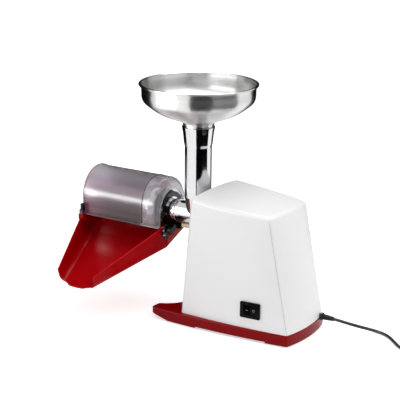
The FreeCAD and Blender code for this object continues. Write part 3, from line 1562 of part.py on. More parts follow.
def make_lead():
    start_x = gland_outer_x()
    tail_r = cord_r + 0.9
    gland = rod(start_x + fit_gap, start_x + 2.8, cord_r + gland_flange_wide, gland_y, gland_z)
    gland = gland.fuse(rod(gland_inner_x(), start_x + 1, gland_hole_r() - 0.1, gland_y, gland_z))
    cone = Part.makeCone(cord_r + 2.0, tail_r, gland_tail_x - start_x - 2, V(start_x + 2, gland_y, gland_z),
                         X_AXIS)
    gland = gland.fuse(cone)
    for number in range(4):
        x = start_x + 6 + 4.2 * number
        gland = gland.cut(tube(x, x + 1.6, cord_r + 6, cord_r + 0.8, gland_y, gland_z))
    inner_end = CORD_ROUTE[0][0]
    gland = gland.cut(rod(inner_end, gland_tail_x + 1, cord_r + press_gap, gland_y, gland_z))
    keep("strain_relief", gland.removeSplitter())
    shown = cord_tube("cord", CORD_ROUTE)
    outer = coil_mean_r + coil_columns * cord_r
    inner = coil_mean_r - coil_columns * cord_r
    height = 2 * cord_r * coil_rows
    coil = post(coil_x, coil_y, 0, height, outer).cut(post(coil_x, coil_y, -1, height + 1, inner))
    keep("cord_coil", coil)
    plug_mid = plug_height / 2
    tail = [
        (484.0, 38.2, height - cord_r),
        (496.5, 34.6, 13.7),
        (507.6, 27.1, 10.3),
        (plug_x - 13.4, plug_y, plug_mid),
        (plug_x + 1.0, plug_y, plug_mid),
    ]
    hidden = cord_tube("cord_tail", tail)
    print("lead outside the coil", round(shown + hidden, 1))
    body = box(plug_x, plug_x + plug_length, plug_y - plug_width / 2, plug_y + plug_width / 2, 0,
               plug_height)
    edges = [edge for edge in body.Edges if edge.BoundBox.ZLength > plug_height - 0.01]
    body = body.makeFillet(6.0, edges)
    body = body.cut(rod(plug_x - 1, plug_x + 1.0, cord_r + press_gap, plug_y, plug_mid))
    keep("plug_body", body)
    pins = []
    for side in (-1, 1):
        pins.append(rod(plug_x + plug_length, plug_x + plug_length + plug_pin_length, plug_pin_r,
                        plug_y + side * plug_pin_half, plug_mid))
    keep("plug_pins", Part.makeCompound(pins))


make_housing()
make_base()
make_feed_body()
make_hopper()
make_filter()
make_ring_nut()
make_feed_screw()
make_guard()
make_knobs()
make_chute()
make_chute_clip()
make_gearbox()
make_gears()
make_motor()
make_cradle()
make_capacitor()
make_terminal_block()
make_switch()
make_collar()
make_lead()

os.makedirs("parts", exist_ok=True)
for name, shape in parts.items():
    if not shape.isValid():
        print("not valid:", name)
    shape.exportStep("parts/" + name + ".step")
print(len(parts), "pieces")
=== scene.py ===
import math

import bmesh
import bpy
from mathutils import Matrix, Vector
from mathutils.bvhtree import BVHTree


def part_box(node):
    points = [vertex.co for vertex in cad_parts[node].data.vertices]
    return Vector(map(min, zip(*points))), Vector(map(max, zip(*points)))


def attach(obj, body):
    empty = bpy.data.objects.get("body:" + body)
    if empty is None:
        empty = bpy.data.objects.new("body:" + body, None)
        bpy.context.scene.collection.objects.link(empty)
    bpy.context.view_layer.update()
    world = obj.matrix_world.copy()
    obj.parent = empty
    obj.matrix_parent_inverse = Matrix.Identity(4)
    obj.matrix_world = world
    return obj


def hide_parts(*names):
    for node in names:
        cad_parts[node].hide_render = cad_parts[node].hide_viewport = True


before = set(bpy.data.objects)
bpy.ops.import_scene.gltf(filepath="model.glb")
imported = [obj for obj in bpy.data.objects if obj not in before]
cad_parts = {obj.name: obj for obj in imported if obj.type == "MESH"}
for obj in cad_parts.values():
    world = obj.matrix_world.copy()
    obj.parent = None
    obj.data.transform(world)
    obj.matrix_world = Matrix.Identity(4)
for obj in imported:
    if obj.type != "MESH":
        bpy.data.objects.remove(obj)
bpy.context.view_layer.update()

# Sizes and places are in millimetres, apart from the studio's, which are in metres
MM = 0.001
AXIS_X, AXIS_Y, AXIS_Z = (1, 0, 0), (0, 1, 0), (0, 0, 1)


def mm(*values):
    """Millimetres to a vector in metres."""
    return Vector([value * MM for value in values])


def node_box(node):
    """Lowest corner, highest corner and middle of a CAD node, in millimetres."""
    low, high = [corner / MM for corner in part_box(node)]
    return low, high, (low + high) / 2


def put(name, data):
    """Puts an object made of the given data into the scene."""
    placed = bpy.data.objects.new(name, data)
    bpy.context.scene.collection.objects.link(placed)
    return placed


SCREW_AXIS_Z = node_box("output_shaft")[2].z
MOTOR_AXIS_Z = node_box("stator_windings")[2].z
CHUTE_MIDDLE_X = node_box("drip_chute")[2].x


# Camera


CAMERA_PLACE = mm(1180.1, -1834.3, 856.7)
CAMERA_YAW, CAMERA_PITCH, CAMERA_ROLL = 32.65, 16.31, 0.54      # degrees
FOCAL_SHARE = 1215.8 / 400          # focal length over the width of the picture
SENSOR_WIDTH = 36.0
VIEW_DEPTH = 50.0                   # metres


def make_camera():
    yaw, pitch, roll = [math.radians(turn) for turn in (CAMERA_YAW, CAMERA_PITCH, CAMERA_ROLL)]
    back = Vector((math.sin(yaw) * math.cos(pitch), -math.cos(yaw) * math.cos(pitch), math.sin(pitch)))
    level = Vector((math.cos(yaw), math.sin(yaw), 0.0))
    upright = back.cross(level)
    right = level * math.cos(roll) + upright * math.sin(roll)
    up = upright * math.cos(roll) - level * math.sin(roll)
    lens = bpy.data.cameras.new("camera")
    lens.sensor_width = SENSOR_WIDTH
    lens.lens = FOCAL_SHARE * SENSOR_WIDTH
    lens.clip_end = VIEW_DEPTH
    camera = put("camera", lens)
    camera.matrix_world = Matrix.Translation(CAMERA_PLACE) @ Matrix((right, up, back)).transposed().to_4x4()
    bpy.context.scene.camera = camera


make_camera()


# Mains lead: out of the gland, over the floor and into a neat coil with its plug


CORD_ROUTE = [
    (256.0, 50.0, 23.0), (270.5, 50.0, 23.0), (284.0, 52.0, 21.0), (296.0, 57.5, 17.6),
    (306.5, 66.0, 13.0), (317.5, 75.5, 8.4), (330.0, 82.5, 5.0), (344.0, 84.0, 3.2),
    (358.5, 79.5, 3.0), (372.0, 69.5, 3.0), (385.0, 56.5, 3.0), (399.0, 43.0, 3.0),
    (416.0, 32.5, 3.0), (437.0, 30.5, 3.0), (458.0, 35.0, 3.0),
]
COIL_CENTRE = (474.0, 4.0)
# Radius and height of each turn
COIL_TURNS = [(36.0, 3.0), (30.0, 3.0), (30.0, 9.0), (36.0, 9.0), (30.0, 15.0), (36.0, 15.0)]
COIL_START = 90                     # degrees from +X
COIL_STEPS = 16                     # points in each turn
LANE_CHANGE = 0.8                   # share of a turn after which the lead moves over to the next one
TAIL_ROUTE = [(496.5, 34.6, 13.7), (507.6, 27.1, 10.3), (520.6, 23.0, 6.85), (535.0, 23.0, 6.85)]
CORD_RADIUS = 3.0


def coil_points():
    """Points of the coil, clockwise seen from above, changing lane over the last part of each turn."""
    points = []
    for number in range(len(COIL_TURNS) * COIL_STEPS + 1):
        turn = min(number // COIL_STEPS, len(COIL_TURNS) - 1)
        share = number / COIL_STEPS - turn
        radius, height = COIL_TURNS[turn]
        if turn + 1 < len(COIL_TURNS) and share > LANE_CHANGE:
            ease = (share - LANE_CHANGE) / (1 - LANE_CHANGE)
            next_radius, next_height = COIL_TURNS[turn + 1]
            radius += (next_radius - radius) * ease
            height += (next_height - height) * ease
        angle = math.radians(COIL_START) - math.tau * number / COIL_STEPS
        x = COIL_CENTRE[0] + radius * math.cos(angle)
        y = COIL_CENTRE[1] + radius * math.sin(angle)
        points.append((x, y, height))
    return points


def make_cord():
    route = CORD_ROUTE + coil_points() + TAIL_ROUTE
    curve = bpy.data.curves.new("mains_lead", "CURVE")
    curve.dimensions = "3D"
    spline = curve.splines.new("NURBS")
    spline.points.add(len(route) - 1)
    for point, place in zip(spline.points, route):
        point.co = (*mm(*place), 1.0)
    spline.order_u = 3
    spline.use_endpoint_u = True
    spline.resolution_u = 6
    curve.bevel_depth = CORD_RADIUS * MM
    curve.bevel_resolution = 5
    curve.use_fill_caps = True
    return put("mains_lead", curve)


lead = make_cord()


# Small helpers for materials


# Colour sockets of the Mix node, by number because its plain numbers have the same names
MIX_FIRST, MIX_SECOND, MIX_RESULT = 6, 7, 2


def colour(hex_code):
    """sRGB hex to the linear colour that shaders use, by the curve of the sRGB standard."""
    channels = []
    for start in (0, 2, 4):
        value = int(hex_code[start:start + 2], 16) / 255
        channels.append(value / 12.92 if value <= 0.04045 else ((value + 0.055) / 1.055) ** 2.4)
    return (*channels, 1.0)


def empty_tree(owner):
    """The node tree of a material or world, cleared."""
    owner.use_nodes = True
    owner.node_tree.nodes.clear()
    return owner.node_tree


def add(tree, kind, links=None, **settings):
    """Adds a node, sets its properties, and feeds its inputs with values or other sockets."""
    made = tree.nodes.new(kind)
    for name, value in settings.items():
        setattr(made, name, value)
    for name, value in (links or {}).items():
        if isinstance(value, bpy.types.NodeSocket):
            tree.links.new(value, made.inputs[name])
        else:
            made.inputs[name].default_value = value
    return made


def start_material(name, **values):
    """A material with one Principled shader; values are its inputs by name."""
    material = bpy.data.materials.new(name)
    tree = empty_tree(material)
    shader = add(tree, "ShaderNodeBsdfPrincipled")
    for key, value in values.items():
        shader.inputs[key.replace("_", " ")].default_value = value
    add(tree, "ShaderNodeOutputMaterial", {"Surface": shader.outputs[0]})
    return material, tree, shader


def dress(tree, shader, shades, first, second, grain, depth_mm, strength, rough=None):
    """The pattern shades blends two hex colours; grain raises the surface and spreads its roughness."""
    base = add(tree, "ShaderNodeMix",
               {"Factor": shades, MIX_FIRST: colour(first), MIX_SECOND: colour(second)}, data_type="RGBA")
    tree.links.new(base.outputs[MIX_RESULT], shader.inputs["Base Color"])
    if rough:
        spread = add(tree, "ShaderNodeMapRange", {"Value": grain, "To Min": rough[0], "To Max": rough[1]})
        tree.links.new(spread.outputs[0], shader.inputs["Roughness"])
    relief = add(tree, "ShaderNodeBump", {"Height": grain, "Distance": depth_mm * MM, "Strength": strength})
    tree.links.new(relief.outputs[0], shader.inputs["Normal"])


def spots(tree, size_mm, detail=2.0, stretch=(1, 1, 1)):
    """Noise on object coordinates whose features are about size_mm across."""
    where = add(tree, "ShaderNodeTexCoord")
    place = add(tree, "ShaderNodeMapping", {"Vector": where.outputs["Object"], "Scale": stretch})
    noise = add(tree, "ShaderNodeTexNoise",
                {"Vector": place.outputs[0], "Scale": 1 / (size_mm * MM), "Detail": detail})
    return noise.outputs[0]


def polar(tree, axis, centre):
    """Radius, height along the axis and angle round it, from object coordinates, in metres and radians."""
    where = add(tree, "ShaderNodeTexCoord")
    moved = add(tree, "ShaderNodeVectorMath", {0: where.outputs["Object"], 1: centre}, operation="SUBTRACT")
    split = add(tree, "ShaderNodeSeparateXYZ", {"Vector": moved.outputs[0]})
    order = {"Z": ("X", "Y", "Z"), "X": ("Y", "Z", "X")}[axis]
    first, second, along = [split.outputs[name] for name in order]
    squares = [add(tree, "ShaderNodeMath", {0: socket, 1: socket}, operation="MULTIPLY").outputs[0]
               for socket in (first, second)]
    total = add(tree, "ShaderNodeMath", {0: squares[0], 1: squares[1]}, operation="ADD")
    radius = add(tree, "ShaderNodeMath", {0: total.outputs[0]}, operation="SQRT")
    angle = add(tree, "ShaderNodeMath", {0: second, 1: first}, operation="ARCTAN2")
    return radius.outputs[0], along, angle.outputs[0]


TURNED_CHANGES = 0.3        # changes in each radian, so that a turned line runs on for about half a turn


def turned_lines(tree, axis, centre, line_mm):
    """Fine lines that run round an axis, as a lathe or a rotating brush leaves them."""
    radius, along, angle = polar(tree, axis, centre)
    lines_per_metre = 1 / (line_mm * MM)
    scaled = {}
    for name, socket, factor in (("X", radius, lines_per_metre), ("Y", along, lines_per_metre),
                                 ("Z", angle, TURNED_CHANGES)):
        scaled[name] = add(tree, "ShaderNodeMath", {0: socket, 1: factor}, operation="MULTIPLY").outputs[0]
    lines = add(tree, "ShaderNodeCombineXYZ", scaled)
    noise = add(tree, "ShaderNodeTexNoise", {"Vector": lines.outputs[0], "Scale": 1.0, "Detail": 3.0})
    return noise.outputs[0]


# Materials


def white_abs():
    """White ABS, injection moulded in a finely eroded tool: satin, with a soft broken highlight."""
    material, tree, shader = start_material("white_abs_moulded", IOR=1.54, Roughness=0.42)
    grain = spots(tree, size_mm=0.9)        # real grain is about 0.1 mm; drawn coarser so that it shows
    dress(tree, shader, spots(tree, size_mm=90.0), "E9E9EA", "EDEDEE", grain, depth_mm=0.02, strength=0.35,
          rough=(0.36, 0.46))
    return material


def red_abs(name, first, second):
    """Red ABS moulded in a polished tool: deep colour under a clear, sharp gloss."""
    material, tree, shader = start_material(name, IOR=1.5, Roughness=0.2, Specular_IOR_Level=0.08)
    flow = spots(tree, size_mm=26.0, detail=1.0)
    dress(tree, shader, spots(tree, size_mm=60.0), first, second, flow, depth_mm=0.05, strength=0.12,
          rough=(0.16, 0.26))
    return material


def brushed_stainless(name, axis, centre):
    """18/10 stainless sheet, spun and brushed on the lathe: fine rings that spread the highlight."""
    material, tree, shader = start_material(name, Metallic=1.0, Roughness=0.3, Anisotropic=0.95,
                                            Anisotropic_Rotation=0.25)
    lines = turned_lines(tree, axis, centre, line_mm=0.6)       # real lines are 0.05 mm; drawn coarser
    dress(tree, shader, lines, "B6B6B6", "DADAD9", lines, depth_mm=0.02, strength=0.5, rough=(0.25, 0.34))
    tangent = add(tree, "ShaderNodeTangent", direction_type="RADIAL", axis=axis)
    tree.links.new(tangent.outputs[0], shader.inputs["Tangent"])
    return material


def polished_stainless():
    """Stainless tube and castings, mirror polished: near white, with a faint trace of the buffing."""
    material, tree, shader = start_material("stainless_mirror_polished", Metallic=1.0, Roughness=0.09)
    trace = spots(tree, size_mm=3.0, detail=3.0, stretch=(0.25, 1, 1))
    dress(tree, shader, trace, "C0C0C2", "CCCCCD", trace, depth_mm=0.01, strength=0.3, rough=(0.06, 0.12))
    return material


GUARD_SEAM_X = -93.0                # the frosted half of the guard ends here
FROST_FADE = (-4.0, 2.0)            # the frost fades out between these distances past the seam
GUARD_LOW_Z, GUARD_TOP_Z = 167.0, 253.0     # heights of the first and the last tint
# Painted reflection and shade by height: the chute's red, darker low down and again below the top, and a
# light band at mid height as a painted highlight: share of height, colour
GUARD_PAINTED_REFLECTIONS = [(0.0, "6C4454"), (0.2, "5C2C40"), (0.38, "86747F"), (0.52, "C6C2C6"), (0.66, "B096A8"),
               (0.8, "A294A2"), (1.0, "BAB6BA")]
GUARD_CLEAR_TINT = "D8D5DA"
GUARD_CLEAR_ROUGHNESS = 0.12


def smoked_polycarbonate():
    """Smoked polycarbonate, frosted inside over the filter and clear and glossy near the ring nut; its
    frosted part carries painted reflections, painted shade and a painted highlight that change with height.
    """
    material, tree, shader = start_material(
        "smoked_polycarbonate_frosted", IOR=1.58, Roughness=0.34, Transmission_Weight=0.85,
        Specular_IOR_Level=0.0, Specular_Tint=colour("202020"), Coat_Weight=1.0, Coat_Roughness=0.25,
        Coat_IOR=1.44)
    where = add(tree, "ShaderNodeTexCoord")
    split = add(tree, "ShaderNodeSeparateXYZ", {"Vector": where.outputs["Object"]})
    fade_start, fade_end = [(GUARD_SEAM_X + past) * MM for past in FROST_FADE]
    clear = add(tree, "ShaderNodeMapRange",
                {"Value": split.outputs["X"], "From Min": fade_start, "From Max": fade_end})
    # The frosted part's colour follows height: painted reflection of the red chute, painted shade low down
    # and a painted highlight band
    height = add(tree, "ShaderNodeMapRange",
                 {"Value": split.outputs["Z"], "From Min": GUARD_LOW_Z * MM, "From Max": GUARD_TOP_Z * MM})
    painted_reflections = add(tree, "ShaderNodeValToRGB", {"Fac": height.outputs[0]})
    stops = painted_reflections.color_ramp.elements
    for share, _ in GUARD_PAINTED_REFLECTIONS[1:-1]:
        stops.new(share)
    for stop, (_, hex_code) in zip(stops, GUARD_PAINTED_REFLECTIONS):
        stop.color = colour(hex_code)
    shade = add(tree, "ShaderNodeMix", {"Factor": clear.outputs[0], MIX_FIRST: painted_reflections.outputs["Color"],
                                        MIX_SECOND: colour(GUARD_CLEAR_TINT)}, data_type="RGBA")
    tree.links.new(shade.outputs[MIX_RESULT], shader.inputs["Base Color"])
    frost = spots(tree, size_mm=0.8)        # real frosting is finer; drawn coarser so that it shows
    rough = add(tree, "ShaderNodeMapRange", {"Value": frost, "To Min": 0.3, "To Max": 0.42})
    mixed = add(tree, "ShaderNodeMix",
                {"Factor": clear.outputs[0], "A": rough.outputs[0], "B": GUARD_CLEAR_ROUGHNESS})
    tree.links.new(mixed.outputs[0], shader.inputs["Roughness"])
    relief = add(tree, "ShaderNodeBump", {"Height": frost, "Distance": 0.015 * MM, "Strength": 0.3})
    tree.links.new(relief.outputs[0], shader.inputs["Normal"])
    return material


SHADE_GRAINS = 30       # a plastic's shades change over this many times the size of its grain
PLASTIC_RELIEF, METAL_RELIEF = 0.4, 0.6     # strength of the grain's bump


def plastic(name, first, second, rough, grain_mm=0.9, depth_mm=0.02, ior=1.52, shine=0.5):
    """A moulded plastic or rubber: two shades, the spread of its roughness, its grain and its gloss."""
    material, tree, shader = start_material(name, IOR=ior, Roughness=sum(rough) / 2,
                                            Specular_IOR_Level=shine)
    dress(tree, shader, spots(tree, SHADE_GRAINS * grain_mm), first, second, spots(tree, grain_mm), depth_mm,
          PLASTIC_RELIEF, rough)
    return material


def metal(name, first, second, rough, grain_mm, depth_mm, stretch=(1, 1, 1), detail=2.0):
    """A metal: two shades, the spread of its roughness, and the size and depth of its surface grain."""
    material, tree, shader = start_material(name, Metallic=1.0, Roughness=sum(rough) / 2)
    grain = spots(tree, grain_mm, detail, stretch)
    dress(tree, shader, grain, first, second, grain, depth_mm, METAL_RELIEF, rough)
    return material


WAVE_SPACING = math.tau / 20    # distance between the Wave node's lines at a scale of 1
LAMINATION_MM = 1.257           # the real sheets are 0.5 mm thick; drawn coarser so that they show
WINDING_LINES = 180             # dark lines round the motor's axis


def laminated_steel():
    """Electrical steel laminations, 0.5 mm thick, pressed into a stack: fine edges side by side."""
    material, tree, shader = start_material("electrical_steel_laminations", Metallic=1.0, Roughness=0.45)
    where = add(tree, "ShaderNodeTexCoord")
    sheets = add(tree, "ShaderNodeTexWave",
                 {"Vector": where.outputs["Object"], "Scale": WAVE_SPACING / (LAMINATION_MM * MM),
                  "Distortion": 0.4}, bands_direction="X").outputs[0]
    dress(tree, shader, sheets, "4C4E52", "8A8C90", sheets, depth_mm=0.05, strength=0.7, rough=(0.38, 0.55))
    return material


def enamelled_copper():
    """Enamelled copper wire wound in layers: orange-brown varnish over round turns."""
    material, tree, shader = start_material("enamelled_copper_wire", Metallic=0.8, Roughness=0.3,
                                            Coat_Weight=0.4, Coat_Roughness=0.2)
    _, _, angle = polar(tree, "X", mm(0, 0, MOTOR_AXIS_Z))
    place = add(tree, "ShaderNodeCombineXYZ", {"X": angle})
    scale = WAVE_SPACING / (math.tau / WINDING_LINES)
    turns = add(tree, "ShaderNodeTexWave", {"Vector": place.outputs[0], "Scale": scale}).outputs[0]
    dress(tree, shader, turns, "6E2F12", "B8622B", turns, depth_mm=0.4, strength=0.8)
    return material


MATERIALS = {
    "white_abs": white_abs(),
    # Red ABS of the drip chute: a bright, warm red
    "red_abs": red_abs("red_abs_gloss", "9C0005", "A80008"),
    # The same red in the base, drawn darker as painted shade
    "red_base_painted_shade": red_abs("red_abs_base_painted_shade", "7E0006", "8A0008"),
    # The same red, lighter, on the chute's rounded rims: a painted highlight where they catch the light
    "red_rim_painted_highlight": red_abs("red_abs_painted_rim_highlight", "B8041A", "C40820"),
    "funnel_steel": brushed_stainless("stainless_brushed_funnel", "Z", mm(0, 0, 0)),
    "filter_steel": brushed_stainless("stainless_brushed_filter", "X", mm(0, 0, SCREW_AXIS_Z)),
    "mirror_steel": polished_stainless(),
    "smoked": smoked_polycarbonate(),
    # Black polyamide of hand wheels and knobs: dense black, even satin from an eroded tool
    "black_satin": plastic("black_polyamide_satin", "060607", "060607", (0.3, 0.42), shine=0.2),
    # Black ABS with a polished skin: sharp small highlights
    "black_gloss": plastic("black_abs_gloss", "050506", "050506", (0.14, 0.22), grain_mm=8.0, depth_mm=0.03,
                           shine=0.3),
    # Black polycarbonate of a rocker switch: smooth, slightly milky gloss
    "switch_black": plastic("black_polycarbonate_switch", "030304", "030304", (0.16, 0.24), grain_mm=3.0,
                            depth_mm=0.01, shine=0.08),
    # Epoxy powder coat in cream: soft orange peel
    "cream_enamel": plastic("cream_powder_coat", "E6D6B4", "DCC9A2", (0.28, 0.4), grain_mm=2.2,
                            depth_mm=0.04, ior=1.5),
    # Black PVC sheath of a mains lead: smooth with a low sheen
    "black_pvc": plastic("black_pvc_sheath", "0E0E0F", "1B1B1C", (0.32, 0.44), grain_mm=1.2, depth_mm=0.015,
                         ior=1.53),
    # Black nitrile rubber: dull and dense
    "black_rubber": plastic("black_nitrile_rubber", "19191A", "202021", (0.6, 0.75), grain_mm=1.0,
                            depth_mm=0.03),
    # White silicone: soft and slightly translucent looking
    "white_silicone": plastic("white_silicone_rubber", "E2E0DA", "D9D6CE", (0.45, 0.55), grain_mm=1.5,
                              depth_mm=0.01, ior=1.41),
    # White acetal of the feed screw: waxy, off white
    "white_acetal": plastic("white_acetal_moulded", "ECEAE2", "E2DFD4", (0.3, 0.4), grain_mm=4.0,
                            depth_mm=0.03, ior=1.48),
    # Natural nylon of the gear and terminal block: slightly yellow, waxy
    "natural_nylon": plastic("natural_nylon_moulded", "DDD8C6", "D2CCB6", (0.35, 0.45), grain_mm=3.0,
                             depth_mm=0.03, ior=1.53),
    # Grey ink of the printed switch marks: thin, matt
    "mark_ink": plastic("grey_pad_print_ink", "8A8A8A", "808080", (0.5, 0.6), grain_mm=0.6, depth_mm=0.005,
                        ior=1.5),
    # Grey bead on white ABS where two moulded halves meet: its grey is the painted shade of a fine groove
    "parting_painted_shade": plastic("abs_parting_painted_shade", "A6A6A8", "9C9C9E", (0.5, 0.6), grain_mm=0.6,
                            depth_mm=0.005, ior=1.54),
    # Nearly black beads on the splash guard: painted shade, where the sheet is seen edge on and looks dark
    "guard_edge_painted_shade": plastic("polycarbonate_edge_painted_shade", "1C181C", "141114", (0.35, 0.45), grain_mm=0.8,
                         depth_mm=0.005, ior=1.58, shine=0.1),
    # Die-cast aluminium: grey with a granular skin
    "cast_aluminium": metal("aluminium_die_cast", "9A9B9D", "B0B1B3", (0.38, 0.55), grain_mm=1.4,
                            depth_mm=0.06),
    # Zinc-plated steel screws: bluish, with short streaks
    "zinc_steel": metal("zinc_plated_steel", "A9ACB0", "C4C7CB", (0.24, 0.38), grain_mm=0.7, depth_mm=0.02,
                        stretch=(1, 1, 0.3)),
    # Ground steel shafts, gears and bearings: bright, with fine short scratches
    "ground_steel": metal("ground_carbon_steel", "97999C", "B9BBBE", (0.16, 0.3), grain_mm=0.5,
                          depth_mm=0.01, stretch=(3, 1, 1)),
    # Sintered bronze: warm, porous, with oil in its pores
    "sintered_bronze": metal("sintered_bronze", "8F6A3A", "B58B52", (0.35, 0.5), grain_mm=0.5, depth_mm=0.04,
                             detail=4.0),
    # Drawn aluminium can of the capacitor: long draw marks
    "drawn_aluminium": metal("drawn_aluminium_can", "B9BABC", "CFD0D2", (0.22, 0.34), grain_mm=0.6,
                             depth_mm=0.01, stretch=(0.06, 1, 1)),
    # Nickel-plated brass pins: smooth and slightly warm
    "nickel_brass": metal("nickel_plated_brass", "BDB9AC", "D6D2C6", (0.14, 0.24), grain_mm=1.0,
                          depth_mm=0.005),
    "laminated": laminated_steel(),
    "copper": enamelled_copper(),
}

NODES_BY_MATERIAL = {
    "white_abs": ["housing_shell"],
    "red_abs": ["drip_chute"],
    "red_base_painted_shade": ["base_tray"],
    "funnel_steel": ["hopper"],
    "filter_steel": ["filter_cone"],
    "mirror_steel": ["feed_body", "filter_cup", "outlet_sleeve"],
    "smoked": ["splash_guard"],
    "black_satin": ["guard_knob_front", "guard_knob_rear", "strain_relief", "cooling_fan"],
    "black_gloss": ["ring_nut", "chute_clip", "wing_screw"],
    "switch_black": ["switch_body", "switch_rocker"],
    "cream_enamel": ["chute_arm"],
    "black_pvc": ["cord", "cord_coil", "cord_tail", "plug_body"],
    "black_rubber": ["front_collar", "rubber_feet"],
    "white_silicone": ["shaft_seal", "filter_gasket"],
    "white_acetal": ["feed_screw"],
    "natural_nylon": ["terminal_block", "idler_gear"],
    "cast_aluminium": ["front_shield", "rear_shield", "gearbox_case", "gearbox_lid"],
    "zinc_steel": ["clamp_nut", "foot_screws", "housing_screws", "motor_cradle", "cradle_screws",
                   "through_bolts", "capacitor_clip", "gearbox_screws", "feed_flange_screws"],
    "ground_steel": ["motor_bearings", "motor_shaft", "motor_pinion", "idler_pinion", "output_gear",
                     "output_shaft"],
    "sintered_bronze": ["output_bushes"],
    "drawn_aluminium": ["run_capacitor"],
    "nickel_brass": ["plug_pins"],
    "laminated": ["stator_core", "rotor_core"],
    "copper": ["stator_windings"],
}

for material_name, node_names in NODES_BY_MATERIAL.items():
    for node_name in node_names:
        node_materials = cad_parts[node_name].data.materials
        node_materials.clear()
        node_materials.append(MATERIALS[material_name])


# Helpers for new pieces


MERGE_DISTANCE = 0.001
SHARP_ANGLE = 35        # degrees between faces, past which an edge is drawn sharp


def mesh_of(name, shape):
    """Turns a bmesh into a mesh and frees it."""
    mesh = bpy.data.meshes.new(name)
    shape.to_mesh(mesh)
    shape.free()
    return mesh


def turn_profile(points, centre, axis, steps, closed=False, angle=math.tau):
    """Turns a line of points round an axis; a closed line gives a solid ring."""
    shape = bmesh.new()
    line = [shape.verts.new(point) for point in points]
    ahead = line[1:] + line[:1] if closed else line[1:]
    edges = [shape.edges.new(pair) for pair in zip(line, ahead)]
    bmesh.ops.spin(shape, geom=line + edges, cent=centre, axis=axis, angle=angle, steps=steps,
                   use_merge=angle == math.tau)
    return shape


def place_piece(name, data, material, body, slot, *nodes):
    """Gives a piece its material and body, and lets it stand for CAD nodes, which it hides; slot is not
    used.
    """
    piece = put(name, data)
    data.materials.append(MATERIALS[material])
    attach(piece, body)
    if nodes:
        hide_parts(*nodes)
    return piece


def finish_piece(name, shape, material, body, slot, *nodes):
    """Closes, smooths and places a piece that was shaped as a bmesh."""
    bmesh.ops.remove_doubles(shape, verts=shape.verts, dist=MERGE_DISTANCE * MM)
    bmesh.ops.recalc_face_normals(shape, faces=shape.faces)
    mesh = mesh_of(name, shape)
    mesh.shade_smooth()
    mesh.set_sharp_from_angle(angle=math.radians(SHARP_ANGLE))
    return place_piece(name, mesh, material, body, slot, *nodes)


def wire_piece(name, points, radius, material, body, slot):
    """A thin round bead that follows points."""
    curve = bpy.data.curves.new(name, "CURVE")
    curve.dimensions = "3D"
    line = curve.splines.new("POLY")
    line.points.add(len(points) - 1)
    for point, place in zip(line.points, points):
        point.co = (*mm(*place), 1.0)
    curve.bevel_depth = radius * MM
    curve.bevel_resolution = 2
    curve.use_fill_caps = True
    return place_piece(name, curve, material, body, slot)


def skin(node):
    """The surface of a CAD node, ready for rays."""
    shape = bmesh.new()
    shape.from_mesh(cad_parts[node].data)
    surface = BVHTree.FromBMesh(shape)
    shape.free()
    return surface


# Strainer cone with its rows of holes


CONE_FLANGE_THICK, CONE_TAIL_LENGTH = 1.5, 7.0
CONE_FLANGE_R, CONE_RIM_R, CONE_END_R = 38.7, 37.0, 20.5
CONE_WALL = 1.0
HOLE_ROWS = 44
HOLES_ROUND = 72
PLAIN_ROWS = 2              # rows without holes at each end
HOLE_WEB = 0.62             # metal left on each side of a hole; real holes are finer


def make_strainer_cone():
    low, high, _ = node_box("filter_cone")
    rim_x = high.x - CONE_FLANGE_THICK
    end_x = low.x + CONE_TAIL_LENGTH
    profile = [(high.x, CONE_FLANGE_R), (rim_x, CONE_FLANGE_R)]
    for row in range(HOLE_ROWS + 1):
        share = row / HOLE_ROWS
        profile.append((rim_x + (end_x - rim_x) * share, CONE_RIM_R + (CONE_END_R - CONE_RIM_R) * share))
    profile.append((low.x, CONE_END_R))
    shape = turn_profile([mm(x, 0, SCREW_AXIS_Z + radius) for x, radius in profile], mm(0, 0, SCREW_AXIS_Z),
                         AXIS_X, HOLES_ROUND)
    row_length = (rim_x - end_x) / HOLE_ROWS
    first = (end_x + PLAIN_ROWS * row_length) * MM
    last = (rim_x - PLAIN_ROWS * row_length) * MM
    holes = [face for face in shape.faces if first < face.calc_center_median().x < last]
    bmesh.ops.recalc_face_normals(shape, faces=shape.faces)
    bmesh.ops.inset_individual(shape, faces=holes, thickness=HOLE_WEB * MM, use_even_offset=True)
    bmesh.ops.delete(shape, geom=holes, context="FACES")
    cone = finish_piece("strainer_cone", shape, "filter_steel", "filter_head", "brushed_stainless",
                        "filter_cone")
    wall = cone.modifiers.new("wall", "SOLIDIFY")
    wall.thickness = CONE_WALL * MM
    wall.offset = -1


make_strainer_cone()


# Two-pin plug with a ribbed grip


# Sections across the plug: share of its length from the lead, width and height
PLUG_TAIL = (0.0, 10.6, 9.6)
PLUG_FRONT = [(0.5, 20.5, 12.0), (0.62, 29.0, 13.4), (0.72, 35.3, 13.7), (1.0, 35.3, 13.7)]
PLUG_RIBS, PLUG_FIRST_RIB, PLUG_RIB_PITCH = 4, 0.08, 0.09
PLUG_RIB_WIDTH, PLUG_RIB_GROWTH = 12.0, 1.8
# One grip rib with the groove on each side of it: share past its start, width past its own, height
PLUG_RIB = [(0.0, -1.8, 10.0), (0.015, 0.0, 11.4), (0.05, 0.0, 11.4), (0.065, -1.6, 10.2)]
PLUG_SIDE_ROUND, PLUG_RIM_ROUND = 2.6, 0.8
SHORTEST_LONG_EDGE = 0.2    # edges that run further along the plug than this are on its long corners
RIM_TOLERANCE = 0.01


def plug_sections():
    sections = [PLUG_TAIL]
    for rib in range(PLUG_RIBS):
        start = PLUG_FIRST_RIB + PLUG_RIB_PITCH * rib
        rib_width = PLUG_RIB_WIDTH + PLUG_RIB_GROWTH * rib
        sections += [(start + past, rib_width + wider, height) for past, wider, height in PLUG_RIB]
    return sections + PLUG_FRONT


def round_edges(shape, edges, radius, segments):
    bmesh.ops.bevel(shape, geom=edges, offset=radius * MM, offset_type="OFFSET", segments=segments,
                    profile=0.5, affect="EDGES", material=-1, clamp_overlap=True)


